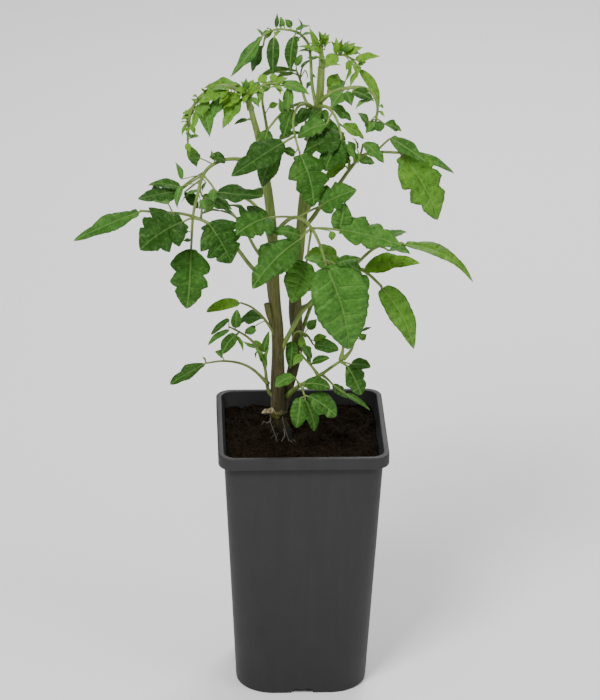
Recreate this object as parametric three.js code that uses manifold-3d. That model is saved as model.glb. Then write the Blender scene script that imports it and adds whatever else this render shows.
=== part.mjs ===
// A young two-stemmed tomato plant in a deep square nursery pot.
// Millimetres, +Z up, +Y away from the viewer. The origin is the middle of the pot's foot, on the ground.
import * as THREE from 'three';
import { mergeVertices } from 'three/addons/utils/BufferGeometryUtils.js';
import Module from 'manifold-3d';

const wasm = await Module();
wasm.setup();

// Driving sizes
const POT_WIDTH = 110; // across the rim
const POT_HEIGHT = 177;
const WALL = 1.6;
const SEAT_GAP = 0.3; // between touching pieces
const BLADE_THICKNESS = 0.8;

// Pot
const LIP_HEIGHT = 8;
const LIP_THICKNESS = 1.6;
const MOUTH_WIDTH = 102.8; // inside the rim, at the top
const MOUTH_RADIUS = 8.5;
const LIP_HOLLOW = 4; // how far the open underside of the lip stays below the rim
const TOP_ROUND = 0.8;
const BODY_TOP_WIDTH = POT_WIDTH - 7.6;
const BODY_FOOT_WIDTH = 86;
const FOOT_DEPTH = 4.3; // the floor stands this far above the ground
const RIM_RADIUS = 10.5;
const BODY_TOP_RADIUS = 9;
const BODY_FOOT_RADIUS = 25;
const FOOT_CHAMFER = 1.5;
const CORNER_STEPS = 4;
const NOTCH_WIDTH = 13;
const NOTCH_HEIGHT = 3.3;
const NOTCH_FLARE = 1.1; // wider by this on each side, at the cut's lower end
const NOTCH_DEPTH = 6; // through the wall
const DRAIN_RADIUS = 5;
const DRAIN_OFFSET = 21;
const DRAIN_SIDES = 10;
const RIB_WIDTH = 2.4;
const BOSS_RADIUS = 9;
const BOSS_SIDES = 12;
const RIB_SPAN = BODY_FOOT_WIDTH - 6;
const RIB_DROP = 0.2; // the supports end this far below the floor's upper face

// Soil
const SOIL_DROP = 9; // below the rim
const SOIL_RINGS = 6;
const SOIL_LUMP = 1.6;

// Stems: centre line points and radius, [x, y, z, radius]
const STEM_LEFT = [
  [-8, -5, 140, 4.2], [-10, -6, 168, 4.8], [-15, -6, 184, 4.6], [-15.6, -6, 198, 4.6], [-15.6, -7, 225, 4],
  [-16, -7, 246, 3.9], [-18.9, -8, 279, 4.3], [-19.5, -8, 312, 3.1], [-21.8, -9, 337, 2.9],
  [-25.4, -10, 361, 2.5], [-29, -10, 381, 2.1], [-32, -12, 393, 1.9], [-33.5, -12, 400, 1.7],
];
const STEM_RIGHT = [
  [-13, -4, 186, 3.4], [-11, -1, 196, 3.6], [-6, 2, 213, 3.5], [-2.6, 5, 233, 3.7], [-3.9, 8, 250, 4.5],
  [-3.9, 10, 274, 3.6], [-1.3, 12, 300, 3.3], [0.6, 12, 324, 3.1], [2.6, 12, 349, 2.9], [5.9, 12, 373, 2.7],
  [9.8, 11, 392, 2.6], [11, 10, 408, 2.4], [11.4, 10, 419, 2.1],
];
const STEM_SIDES = 8;
const STEM_STEPS = 15;
// The swollen graft union and the stub of the rootstock beside it
const GRAFT = { at: [-15.5, -6.5, 188], size: [5.8, 5.6, 4] };
const GRAFT_STUB = [[-16, -7, 188, 2.6], [-20, -9, 190, 2.2], [-24, -10, 191.5, 1.4]];
// The cut end of a branch that was pruned from the left stem
const CUT_STUB = [[-16.6, -7.5, 244, 2.2], [-21.4, -10, 258, 1.9], [-23.3, -11, 266.4, 1.9]];
const STUB_STEPS = 3;
const STUB_SIDES = 6;

// Blade outlines: how far along a blade is widest (below 1, nearer its base), how blunt its ends are,
// and where a blade without lobes gets its rows of points
const POINTED = { fullness: 0.56, blunt: 0.72, rows: [0.2, 0.58] };
const OVAL = { fullness: 0.72, blunt: 0.58, rows: [0.2, 0.55, 0.86] };
const SLENDER = { fullness: 0.6, blunt: 1, rows: [0.2, 0.6] };
const LARGE_ROWS = [0.03, 0.14, 0.4, 0.72];
const SMALL_BLADE = 13; // a blade narrower than this keeps a plain outline
const LOBES_FROM = 0.03;
const LOBES_TO = 0.6;
const LOBE_ROWS = [0.28, 0.62, 1]; // shares of a lobe's length, the last in the notch
const SHORT_ROWS = [0.62, 1];
const MIDDLE_BLADE = 19; // a blade narrower than this has the short rows
const LOBE_DEPTH = 0.5;
const LOBE_SKEW = 1.25; // above 1 a round lobe is fullest in its far half
const LOBE_ROUND = 0.6;
const LOBE_PEAK = 0.62; // where a pointed lobe has its point
const LOBE_POINT = 0.45; // between round 0 and pointed 1
const TIP_ROW = 0.7; // where the end of a lobed blade is full again
const LOBE_LEAN = 0.4; // how far the margin lies ahead of its place on the midrib, as a share of its reach
const BASE_SWEEP = 0.22; // and how far behind at the base
const BLADE_ARCH = 0.09; // height of the middle over the line from base to tip, as a share of the length
const BLADE_FOLD = 0.14; // rise of the edges over the midrib, as a share of the half width
const NECK = 0.8; // half width of a blade's own stalk,
const NECK_SHARE = 0.25; // but at most this share of the blade's width
const NECK_TURN = 0.7; // how far the stalk's upper face gives way where the blade turns up from it
const RIB_DEPTH = 0.7; // how far the midrib stands out below at the base

// Leaf stalks
const STALK_END = 0.55; // a stalk's radius at its far end, as a share of the girth
const STALK_STEP = 19;
const STALK_SIDES = 5;
const SLIM_SIDES = 4; // on a stalk thinner than the slim girth
const SLIM_GIRTH = 1.5;
const THINNEST = 0.6;
const CLOSE = 2.5; // a blade nearer than this to the stalk has no stalk of its own
const SINK = 1.2; // how far inside the stalk's end its last blade starts
const SCATTER = 0.5; // size of the seeded offsets of the blades' roots
const NEAR = 0.04; // where a blade close to the stalk has its base, as a share of the way to its tip

// Leaves, side shoots and shoot tips. Each name is one piece made of one or more fronds:
// stalk is a frond's centre line, girth the stalk's radius where it starts, face the way that the upper
// faces of its blades look, form their outline, and each blade is [share along the stalk,
// base or null for one close to the stalk, tip, width, roll in degrees, lobes on a side,
// its own arch if not the usual]
const TOWARDS_VIEWER = [0, -0.6, 1];
const TOWARDS_BACK = [0, 0.6, 1];
const UPWARD = [0, 0, 1];
const LEAVES = {
  leaf_front: [{
    stalk: [[-19, -8, 311.5], [-13, -15, 323], [-6.5, -23, 330.5], [0, -32, 331.5],
      [5, -40, 328], [9, -45, 320.5], [12.5, -48, 309.5]],
    girth: 1.5, face: TOWARDS_VIEWER, form: POINTED,
    blades: [
      [1, null, [28, -46, 249.5], 38, 0, 0],
      [0.66, [-4, -42, 323], [-33.5, -54, 295], 27, 0, 1],
      [0.66, [-3, -37, 323.5], [-22, -40, 328], 13, 0, 1],
      [0.4, [-22.5, -36, 336], [-43.5, -46, 328], 29, 0, 2],
      [0.66, [21.5, -47, 331.5], [59, -56, 324], 24, 0, 2, 0.04],
      [0.66, [21, -45, 331], [24.5, -40, 347], 13.5, 0, 0],
      [0.97, [16.5, -46, 306.5], [-0.5, -44, 311.5], 11, 0, 1],
      [0.97, [19, -47, 308.5], [35.5, -44, 310.5], 8.5, 0, 1],
      [0.45, [10, -33, 342.5], [32, -38, 354.5], 23, 0, 2],
      [0.66, [1, -34, 304.5], [-8, -35, 277], 19.5, 0, 0],
    ],
  }],
  leaf_left_hanging: [{
    stalk: [[-26, -10, 361], [-40, -17, 367.5], [-50.5, -23, 369.5], [-60.5, -28, 366],
      [-64.5, -31, 360.5], [-67.5, -34, 349.5], [-70, -37, 339], [-71.5, -40, 318]],
    girth: 1.4, face: TOWARDS_VIEWER, form: POINTED,
    blades: [
      [1, null, [-74.5, -44, 277.5], 27, 0, 2],
      [0.8, [-76.5, -42, 336], [-103.5, -52, 321], 36.5, 0, 2],
      [0.8, [-60.5, -42, 334.5], [-46.5, -46, 309], 31, 0, 2],
      [0.5, [-79, -28, 351], [-104.5, -34, 348], 15, 0, 1, -0.02],
      [0.47, [-78, -26, 352.5], [-98, -27, 354.5], 9, 0, 0],
      [0.53, [-75.5, -25, 348], [-66.5, -20, 336], 9.5, 0, 1],
      [0.6, [-64, -30, 348], [-46.5, -26, 335], 11.5, 0, 1],
      [0.5, [-55, -36, 353], [-26.5, -44, 353], 16, 0, 1, 0],
      [0.36, [-50, -26, 370.5], [-60, -30, 374], 8.5, 0, 1],
      [0.4, [-65.5, -29, 373], [-73, -26, 371.5], 7.5, 0, 1],
    ],
  }],
  leaf_left_long: [{
    stalk: [[-19, -8, 277], [-33, 4, 286.5], [-42.5, 10, 297.5], [-53, 13, 307.5],
      [-63, 14, 314], [-74.5, 14, 318.5], [-89, 12, 321], [-103, 8, 323.5]],
    girth: 1.5, face: TOWARDS_VIEWER, form: POINTED,
    blades: [
      [1, null, [-146, 0, 306.5], 16, 0, 1, 0.05],
      [0.62, [-63.5, 18, 327.5], [-44.5, 30, 315.5], 13, 0, 1],
      [0.8, [-85.5, 20, 323.5], [-99.5, 44, 317], 9, 0, 1],
      [0.8, [-87.5, 6, 319.5], [-94, -6, 312], 9, 0, 0],
    ],
  }],
  leaf_left_back: [{
    stalk: [[-20, -8, 288], [-31, 10, 298], [-37.5, 20, 308], [-45, 28, 313], [-51.5, 34, 313]],
    girth: 1.3, face: TOWARDS_BACK, form: POINTED,
    blades: [
      [1, null, [-65, 47, 305], 6.5, 0, 0],
      [0.75, [-48.5, 36, 315.5], [-34.5, 50, 305.5], 9, 0, 1],
    ],
  }],
  leaf_centre_upper: [{
    stalk: [[9, 11, 389], [1.5, -2, 398.5], [-4.5, -14, 400.5],
      [-7.5, -22, 394.5], [-6, -27, 385], [-3.5, -30, 376.5]],
    girth: 1.2, face: TOWARDS_VIEWER, form: POINTED,
    blades: [
      [1, null, [5, -36, 342.5], 27.5, 0, 2],
      [0.83, [-14, -34, 385], [-46.5, -48, 368], 22, 0, 1, 0.05],
      [0.83, [-17.5, -25, 378], [-27, -24, 351.5], 16, 0, 0],
      [0.95, [-6.5, -29, 375.5], [-15, -30, 378.5], 7, 0, 0],
    ],
  }, {
    stalk: [[9, 11, 389], [1, 4, 397], [-9, -5, 397.5], [-16.5, -10, 393], [-23, -14, 386]],
    girth: 1.3, face: TOWARDS_VIEWER, form: POINTED,
    blades: [
      [1, null, [-25.5, -18, 376.5], 11, 0, 1],
      [0.5, [-7, -8, 397], [-13, -15, 381.5], 14, 0, 1],
      [0.25, [1.5, 3, 393], [-3.5, -3, 385.5], 8.5, 0, 1],
    ],
  }],
  leaf_front_right: [{
    stalk: [[9.5, 10, 391.5], [13.5, 2, 395.5], [17.5, -6, 395], [21, -15, 390.5], [23, -20, 382.5]],
    girth: 1.2, face: TOWARDS_VIEWER, form: POINTED,
    blades: [
      [1, null, [-1, -19, 372], 22.5, 0, 2],
      [0.5, [13.5, -14, 389.5], [-4.5, -16, 381], 15.5, 0, 1],
      [0.75, [24, -12, 387.5], [38, -6, 376.5], 11.5, 0, 1],
      [0.3, [17, 1, 395.5], [30.5, 4, 385], 9.5, 0, 1],
      [0.15, [11, 0, 393], [2, -7, 385.5], 9.5, 0, 1],
      [0.85, [21.5, -10, 382.5], [6.5, -5, 386.5], 13.5, 0, 1],
      [1, null, [12.5, -27, 363], 22, 0, 1],
    ],
  }],
  leaf_right_upper: [{
    stalk: [[-1.5, 12, 306], [7, 8, 318.5], [12.5, 4, 329], [21.5, 0, 342],
      [30, -2, 355.5], [37, -4, 364.5], [47, -6, 367.5], [61, -10, 368.5]],
    girth: 1.6, face: TOWARDS_VIEWER, form: POINTED,
    blades: [
      [1, null, [85, -14, 324.5], 32, 0, 2],
      [0.83, [54.5, -9, 378], [76.5, -18, 365], 12, 0, 1],
      [0.95, [68.5, 2, 363], [97.5, 18, 343.5], 8.5, 0, 1],
      [0.72, [37.5, -12, 376], [50, -17, 364.5], 12, 0, 1],
      [0.68, [35, 3, 359], [46, 10, 354], 8.5, 0, 0],
      [0.6, [27, 6, 354], [12.5, 14, 338.5], 9.5, 0, 1],
      [0.7, [31.5, -7, 367.5], [27.5, -10, 376.5], 7, 0, 0],
      [0.62, [28.5, -8, 364.5], [19, -13, 361.5], 9, 0, 1],
      [0.66, [32, -9, 370], [22, -15, 372], 8.5, 0, 1],
    ],
  }],
  leaf_right_arch: [{
    stalk: [[10.5, 10, 396], [18.5, 7, 403], [28, 4, 407], [38, 2, 407.5],
      [43.5, 1, 404], [46.5, 0, 396], [45.5, 0, 386]],
    girth: 1.4, face: TOWARDS_VIEWER, form: SLENDER,
    blades: [
      [1, null, [39, -4, 379.5], 7.5, 0, 0],
      [0.36, [24, 2, 405], [17, -6, 397], 11, 0, 1],
      [0.42, [26.5, 2, 405], [30, -5, 398], 7.5, 0, 0],
      [0.5, [30.5, 0, 406.5], [44, -6, 401.5], 11, 0, 1],
      [0.92, [40.5, -3, 385.5], [33.5, -5, 393.5], 7, 0, 1],
      [0.97, [51.5, 2, 383.5], [62.5, 6, 377], 9.5, 0, 1],
      [0.15, [16, 13, 404], [27.5, 20, 405.5], 11.5, 0, 0],
      [0.18, [17, 14, 403.5], [20.5, 8, 395.5], 7.5, 0, 0],
    ],
  }],
  shoot_right_top: [{
    stalk: [[12.5, 10, 419], [11.5, 10, 425.5], [11, 9, 435.5]],
    girth: 1.9, face: TOWARDS_VIEWER, form: SLENDER,
    blades: [
      [1, null, [9, 6, 444], 4, 0, 0],
      [0.75, [9, 10, 432], [3.5, 12, 444.5], 4.5, 0, 0],
    ],
  }, {
    stalk: [[12.5, 10, 419.5], [17.5, 14, 423.5], [24, 17, 424.5], [30.5, 18, 421.5], [35.5, 17, 415.5]],
    girth: 1.1, face: TOWARDS_VIEWER, form: SLENDER,
    blades: [
      [1, null, [48.5, 14, 390.5], 7, 0, 1, 0.16],
      [0.7, [33, 16, 421.5], [48.5, 12, 425], 7.5, 0, 0],
      [0.25, [20.5, 12, 426.5], [13.5, 4, 420], 8.5, 0, 0],
      [0.5, [27, 18, 424.5], [38, 20, 428.5], 6.5, 0, 1],
    ],
  }],
  leaf_top_left: [{
    stalk: [[9, 11, 388], [6, 20, 404], [5, 22, 420.5], [3.5, 21.5, 430],
      [-2, 20, 437.5], [-9.5, 16, 441.5], [-18.5, 13, 442.5], [-25.5, 9, 440.5]],
    girth: 1.2, face: TOWARDS_VIEWER, form: SLENDER,
    blades: [
      [1, null, [-46, 0, 416], 10.5, 0, 1, 0.02],
      [0.86, [-18.5, 12, 438], [-19, 7, 413], 8.5, 0, 1],
      [0.7, [-6, 15, 437], [-8, 11, 414.5], 8.5, 0, 1],
      [0.86, [-17, 14, 444], [-16.5, 14, 453.5], 3, 0, 0],
      [0.97, [-25.5, 14, 431.5], [-32, 19, 412.5], 11, 0, 1],
    ],
  }],
  leaf_top_back: [{
    stalk: [[8.5, 12, 384], [1.5, 22, 393.5], [-0.5, 29, 401.5], [-3.5, 36, 408]],
    girth: 1.2, face: TOWARDS_BACK, form: POINTED,
    blades: [
      [1, null, [-27, 48, 398], 14, 0, 1],
      [0.8, [0, 34, 410.5], [15.5, 48, 412.5], 10.5, 0, 1],
      [0.88, [-5.5, 32, 407.5], [-20.5, 30, 400.5], 9, 0, 1],
    ],
  }],
  shoot_left_top: [{
    stalk: [[-33.5, -12, 399], [-35.5, -12, 405], [-37, -12, 411.5]],
    girth: 1.7, face: TOWARDS_VIEWER, form: SLENDER,
    blades: [
      [1, null, [-36.5, -14, 420.5], 4.5, 0, 0],
      [0.6, [-39, -13, 410], [-46, -11, 416.5], 6, 0, 0],
    ],
  }, {
    stalk: [[-34.5, -12, 403], [-41, -15, 412], [-49, -17, 416], [-58, -19, 415],
      [-65.5, -20, 410], [-70.5, -21, 402], [-72.5, -21, 391.5], [-73, -20, 381.5]],
    girth: 1.4, face: TOWARDS_VIEWER, form: SLENDER,
    blades: [
      [1, [-73, -19, 376], [-67.5, -16, 362], 9, 0, 1],
      [0.5, [-64, -23, 406], [-59.5, -27, 386], 9, 0, 0],
      [0.17, [-41, -19, 409], [-51.5, -26, 391], 11, 0, 1],
      [0.41, [-52.5, -23, 410.5], [-58.5, -26, 396.5], 9.5, 0, 1],
      [0.33, [-47.5, -22, 416.5], [-67, -27, 408.5], 13, 0, 1],
      [0.12, [-40, -18, 411], [-56, -26, 401.5], 11.5, 0, 1],
      [0.27, [-41.5, -12, 415], [-62.5, -4, 410.5], 11, 0, 1],
    ],
  }, {
    stalk: [[-35.5, -12, 405], [-30.5, -16, 413.5], [-24.5, -18, 417.5], [-15, -20, 419]],
    girth: 1.1, face: TOWARDS_VIEWER, form: SLENDER,
    blades: [
      [1, null, [3, -23, 412], 9, 0, 1],
      [0.8, [-10, -21, 416], [-10.5, -20, 400], 7, 0, 0],
    ],
  }],
  leaf_left_inner: [{
    stalk: [[-26, -10, 366.5], [-23, -1, 378.5], [-24.5, 0, 390.5], [-26, 1, 399.5], [-25.5, 2, 405.5]],
    girth: 1.3, face: TOWARDS_VIEWER, form: SLENDER,
    blades: [
      [1, null, [-20, 4, 412.5], 6, 0, 0],
      [0.9, [-27.5, 6, 406], [-33.5, 12, 408], 6.5, 0, 1],
    ],
  }],
  leaf_stem_left_small: [{
    stalk: [[-32, -12, 393], [-35.5, -13, 392.5]],
    girth: 0.8, face: TOWARDS_VIEWER, form: POINTED,
    blades: [
      [1, null, [-44, -14, 389.5], 4, 0, 0],
    ],
  }],
  leaf_right_low: [{
    stalk: [[-14.5, -7, 231], [-10, -9, 241.5], [-5.5, -10, 251], [0, -10, 261], [13, -11, 275],
      [25.5, -12, 286.5], [33.5, -13, 291.5], [40.5, -14, 288.5], [49.5, -16, 280.5]],
    girth: 1.7, face: TOWARDS_VIEWER, form: POINTED,
    blades: [
      [1, null, [71, -21, 238.5], 18, 0, 0],
      [0.82, [39, -17, 292.5], [73.5, -25, 299.5], 15, 0, 1, 0.13],
      [0.8, [36.5, -19, 291.5], [23, -27, 301.5], 11, 0, 0],
      [0.82, [37, -18, 289], [38.5, -21, 275], 9.5, 0, 0],
    ],
  }],
  leaf_right_long: [{
    stalk: [[-3.5, 8, 253], [12, 12, 260.5], [25, 14, 272],
      [36, 15, 283.5], [48.5, 15, 294.5], [64.5, 12, 298.5]],
    girth: 1.5, face: UPWARD, form: POINTED,
    blades: [
      [1, null, [110, 2, 275], 17.5, 10, 1, 0.15],
      [0.82, [54, 19, 299], [68.5, 26, 300.5], 9, 0, 0],
      [0.82, [56, 9, 295], [69, 3, 294.5], 14, 0, 0],
      [0.5, [23, 18, 287.5], [1.5, 12, 288.5], 18, -35, 1],
    ],
  }],
  leaf_back_low: [{
    stalk: [[-2.5, 5, 232], [8, 25, 252.5], [16, 48, 251], [22.5, 66, 244]],
    girth: 1.5, face: TOWARDS_BACK, form: POINTED,
    blades: [
      [1, null, [30, 100, 223.5], 20, 0, 2],
      [0.6, [5.5, 50, 251], [-4, 68, 240], 15, 0, 1],
      [0.6, [25, 44, 249], [37.5, 56, 242], 15, 0, 1],
    ],
  }],
  leaf_back_high: [{
    stalk: [[2.5, 12, 346.5], [6.5, 35, 358], [10, 60, 355.5], [12.5, 84, 344.5]],
    girth: 1.5, face: TOWARDS_BACK, form: POINTED,
    blades: [
      [1, null, [16, 120, 321], 22, 0, 2],
      [0.6, [2, 62, 355.5], [-12.5, 74, 346.5], 17, 0, 1],
      [0.6, [17, 62, 355], [30, 74, 345.5], 17, 0, 1],
    ],
  }],
  leaf_back_left: [{
    stalk: [[-20, -8, 306], [-28, 15, 321], [-38, 40, 320.5], [-46, 64, 311.5]],
    girth: 1.5, face: TOWARDS_BACK, form: POINTED,
    blades: [
      [1, null, [-59.5, 94, 288.5], 21.5, 0, 2],
      [0.62, [-47, 43, 320.5], [-65.5, 54, 306.5], 16, 0, 1],
      [0.62, [-34, 50, 319.5], [-24, 68, 310], 15, 0, 1],
    ],
  }],
  leaf_back_right: [{
    stalk: [[0.5, 12, 318.5], [10, 30, 321.5], [22, 48, 312.5], [31.5, 60, 297]],
    girth: 1.5, face: TOWARDS_BACK, form: POINTED,
    blades: [
      [1, null, [46.5, 86, 264.5], 20, 0, 2],
      [0.62, [21, 54, 312], [15.5, 72, 298], 15, 0, 1],
      [0.62, [31, 44, 303.5], [48.5, 50, 288], 13, 0, 1],
    ],
  }],
  leaf_back_centre: [{
    stalk: [[-3.5, 10, 268], [-11, 28, 276.5], [-14, 50, 274], [-15, 70, 262]],
    girth: 1.4, face: TOWARDS_BACK, form: POINTED,
    blades: [
      [1, null, [-15, 100, 237], 18, 0, 2],
      [0.62, [-18, 52, 274], [-24, 62, 262.5], 13, 0, 1],
      [0.62, [-10, 56, 273.5], [0.5, 72, 262.5], 13, 0, 1],
    ],
  }],
  shoot_left: [{
    stalk: [[-15.5, -6, 198], [-21, -7, 202], [-23, -8, 210.5],
      [-24, -9, 220], [-27, -10, 230.5], [-28.5, -10, 236.5]],
    girth: 1.4, face: TOWARDS_VIEWER, form: POINTED,
    blades: [
      [0.95, [-25, -8, 231.5], [-21.5, -5, 245], 5, 0, 0],
    ],
  }, {
    stalk: [[-22, -8, 209], [-32.5, -12, 221.5], [-40.5, -14, 226.5],
      [-51.5, -16, 229], [-62.5, -18, 228.5]],
    girth: 1.1, face: TOWARDS_VIEWER, form: OVAL,
    blades: [
      [1, null, [-85.5, -24, 216.5], 12, 0, 1, 0],
    ],
  }, {
    stalk: [[-28, -10, 235], [-34.5, -12, 243], [-41, -14, 248.5], [-47.5, -15, 252.5]],
    girth: 1, face: TOWARDS_VIEWER, form: OVAL,
    blades: [
      [1, [-47.5, -16, 250.5], [-61, -19, 241.5], 5, 0, 0],
      [1, [-47.5, -14, 257.5], [-59, -14, 246.5], 4.5, 0, 0],
      [0.85, [-43, -18, 253], [-42.5, -23, 268], 7, 0, 0],
      [0.7, [-43, -18, 248.5], [-52, -23, 237], 9, 0, 0],
    ],
  }],
  leaf_left_low: [{
    stalk: [[-16.5, -7, 240], [-21.5, -11, 251], [-27.5, -15, 261], [-34, -16, 267], [-40, -16, 269.5]],
    girth: 1.1, face: TOWARDS_VIEWER, form: OVAL,
    blades: [
      [1, null, [-62, -19, 264.5], 9, 0, 0],
      [0.5, [-26, -8, 255.5], [-40, 1, 250], 13, 0, 1],
    ],
  }],
  shoot_right: [{
    stalk: [[-11, -2, 197], [-1.5, -8, 207.5], [10.5, -12, 216], [18.5, -14, 223], [26, -14, 228.5]],
    girth: 1.6, face: TOWARDS_VIEWER, form: OVAL,
    blades: [
      [0.95, [31, -17, 226.5], [43.5, -21, 226], 9.5, 0, 0],
      [0.95, [28.5, -19, 226], [37.5, -23, 207.5], 15.5, 0, 1],
    ],
  }, {
    stalk: [[24.5, -14, 228], [26, -12, 235.5], [26, -10, 240.5]],
    girth: 1.2, face: TOWARDS_VIEWER, form: POINTED,
    blades: [
      [1, null, [13.5, -8, 253.5], 11.5, 0, 0],
    ],
  }, {
    stalk: [[26, -14, 228.5], [31, -12, 233.5], [34.5, -8, 241], [38.5, -6, 245]],
    girth: 1.1, face: TOWARDS_VIEWER, form: POINTED,
    blades: [
      [1, null, [44.5, -4, 246.5], 2.5, 0, 0],
      [0.8, [36, -4, 246], [39, 0, 258.5], 7.5, 0, 1],
    ],
  }, {
    stalk: [[10.5, -12, 216], [6, -14, 223.5], [1, -14, 229.5], [-2, -14, 234.5]],
    girth: 1, face: TOWARDS_VIEWER, form: OVAL,
    blades: [
      [0.45, [5, -16, 229], [-1.5, -20, 241], 8.5, 0, 0],
      [0.4, [6, -16, 227.5], [17, -21, 232.5], 7, 0, 0],
    ],
  }, {
    stalk: [[-1.5, -8, 207.5], [-3, -16, 213.5], [-0.5, -23, 212], [1, -27, 208]],
    girth: 1, face: TOWARDS_VIEWER, form: OVAL,
    blades: [
      [0.45, [-6, -21, 220], [-18, -26, 215], 10.5, 0, 0],
      [1, [-2, -28, 208], [-4.5, -31, 188], 11.5, 0, 0],
      [1, [1.5, -29, 206], [7, -33, 186.5], 9.5, 0, 0],
      [0.95, [3.5, -28, 209], [21, -34, 197.5], 18.5, 0, 1],
      [0.8, [1, -25, 216.5], [17.5, -28, 214.5], 11.5, 0, 0],
    ],
  }, {
    stalk: [[12, -12, 217.5], [16.5, -8, 212], [21.5, -8, 206.5], [28, -8, 201.5]],
    girth: 0.9, face: TOWARDS_VIEWER, form: POINTED,
    blades: [
      [1, null, [44, -11, 191], 5, 0, 0],
      [0.6, [20, -4, 205], [29.5, -3, 196], 8.5, 0, 0],
    ],
  }],
  leaf_low_behind: [{
    stalk: [[-2.5, 5, 237], [2.5, 4, 238.5], [7.5, 3, 231.5]],
    girth: 1, face: TOWARDS_VIEWER, form: OVAL,
    blades: [
      [1, null, [24, 1, 228.5], 10.5, 0, 0],
    ],
  }, {
    stalk: [[2.5, 4, 237.5], [-2.5, -1, 243], [-5.5, -2.5, 241.5], [-6.5, -3, 237.5]],
    girth: 0.9, face: TOWARDS_VIEWER, form: POINTED,
    blades: [
      [1, null, [-8, -4, 217.5], 8.5, 0, 1],
    ],
  }],
};

// A blade's half width, as a share of the widest, along it from base 0 to tip 1
const envelope = (t, form) => Math.sin(Math.PI * t ** form.fullness) ** form.blunt;

// How far a lobe stands out between its notches at 0 and 1
function lobeAt(s) {
  const round = Math.abs(Math.sin(Math.PI * s ** LOBE_SKEW)) ** LOBE_ROUND;
  const pointed = s < LOBE_PEAK ? s / LOBE_PEAK : (1 - s) / (1 - LOBE_PEAK);
  return THREE.MathUtils.lerp(round, pointed, LOBE_POINT);
}

// Stations along a blade and the share of its half width there
function outline(width, lobes, form) {
  const plain = (t) => [t, envelope(t, form)];
  if (width < SMALL_BLADE) return form.rows.map(plain);
  if (lobes === 0) return LARGE_ROWS.map(plain);
  const rows = [plain(0.01)];
  const pitch = (LOBES_TO - LOBES_FROM) / lobes;
  for (let k = 0; k < lobes; k += 1) {
    for (const s of width < MIDDLE_BLADE ? SHORT_ROWS : LOBE_ROWS) {
      const t = LOBES_FROM + pitch * (k + s);
      const depth = LOBE_DEPTH * (1 - (0.5 * (k + s)) / lobes);
      rows.push([t, envelope(t, form) * (1 - depth * (1 - lobeAt(s)))]);
    }
  }
  return [...rows, plain(TIP_ROW)];
}

// How far the margin lies ahead of its place on the midrib, as a share of its reach
const lean = (t) => LOBE_LEAN * (1 - t) * Math.min(1, 4 * t) - BASE_SWEEP * (1 - t) ** 6;

// Geometry helpers
const vec = (p) => new THREE.Vector3(p[0], p[1], p[2]);

function meshGeometry(points, triangles) {
  const geometry = new THREE.BufferGeometry();
  const flat = points.flatMap((p) => [p.x, p.y, p.z]);
  geometry.setAttribute('position', new THREE.Float32BufferAttribute(flat, 3));
  geometry.setIndex(triangles.flat());
  return geometry;
}

function solid(geometry) {
  const bare = geometry.clone();
  bare.deleteAttribute('normal');
  bare.deleteAttribute('uv');
  const merged = mergeVertices(bare, 1e-5);
  return new wasm.Manifold(new wasm.Mesh({
    numProp: 3,
    vertProperties: new Float32Array(merged.attributes.position.array),
    triVerts: new Uint32Array(merged.index.array),
  }));
}

function geometryOf(manifold) {
  const mesh = manifold.getMesh();
  const geometry = new THREE.BufferGeometry();
  geometry.setAttribute('position', new THREE.BufferAttribute(new Float32Array(mesh.vertProperties), 3));
  geometry.setIndex(Array.from(mesh.triVerts));
  geometry.computeVertexNormals();
  return geometry;
}

const join = (solids) => solids.slice(1).reduce((sum, next) => sum.add(next), solids[0]);

// Rings of equal point count, each anticlockwise about the way that they follow one another,
// with both ends closed
function loft(rings) {
  const count = rings[0].length;
  const points = rings.flat();
  const triangles = [];
  for (let r = 0; r + 1 < rings.length; r += 1) {
    for (let i = 0; i < count; i += 1) {
      const j = (i + 1) % count;
      const [a, b, c, d] = [r * count + i, r * count + j, (r + 1) * count + j, (r + 1) * count + i];
      triangles.push([a, b, c], [a, c, d]);
    }
  }
  const middle = (ring) => ring.reduce((sum, p) => sum.add(p), new THREE.Vector3()).divideScalar(count);
  const [first, last] = [points.length, points.length + 1];
  points.push(middle(rings[0]), middle(rings.at(-1)));
  const top = (rings.length - 1) * count;
  for (let i = 0; i < count; i += 1) {
    const j = (i + 1) % count;
    triangles.push([first, j, i], [last, top + i, top + j]);
  }
  return meshGeometry(points, triangles);
}

// A round tube of changing radius along a smooth line through [x, y, z, radius] points
function taperedTube(points, steps, sides, extra = 0) {
  const curve = new THREE.CatmullRomCurve3(points.map(vec), false, 'centripetal');
  const frames = curve.computeFrenetFrames(steps, false);
  const rings = [];
  for (let s = 0; s <= steps; s += 1) {
    const u = s / steps;
    const shift = extra * ((s === steps) - (s === 0));
    const centre = curve.getPointAt(u).addScaledVector(frames.tangents[s], shift);
    const along = curve.getUtoTmapping(u) * (points.length - 1);
    const k = Math.min(points.length - 2, Math.floor(along));
    const radius = THREE.MathUtils.lerp(points[k][3], points[k + 1][3], along - k) + extra;
    const ring = [];
    for (let i = 0; i < sides; i += 1) {
      const angle = (2 * Math.PI * i) / sides;
      ring.push(centre.clone()
        .addScaledVector(frames.normals[s], Math.cos(angle) * radius)
        .addScaledVector(frames.binormals[s], Math.sin(angle) * radius));
    }
    rings.push(ring);
  }
  return loft(rings);
}

// Points round a square with round corners
function roundedSquare(width, radius, z) {
  const ring = [];
  const straight = width / 2 - radius;
  for (let corner = 0; corner < 4; corner += 1) {
    const cx = straight * (corner === 0 || corner === 3 ? 1 : -1);
    const cy = straight * (corner < 2 ? 1 : -1);
    for (let i = 0; i <= CORNER_STEPS; i += 1) {
      const angle = (Math.PI / 2) * (corner + i / CORNER_STEPS);
      ring.push(new THREE.Vector3(cx + radius * Math.cos(angle), cy + radius * Math.sin(angle), z));
    }
  }
  return ring;
}

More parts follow.
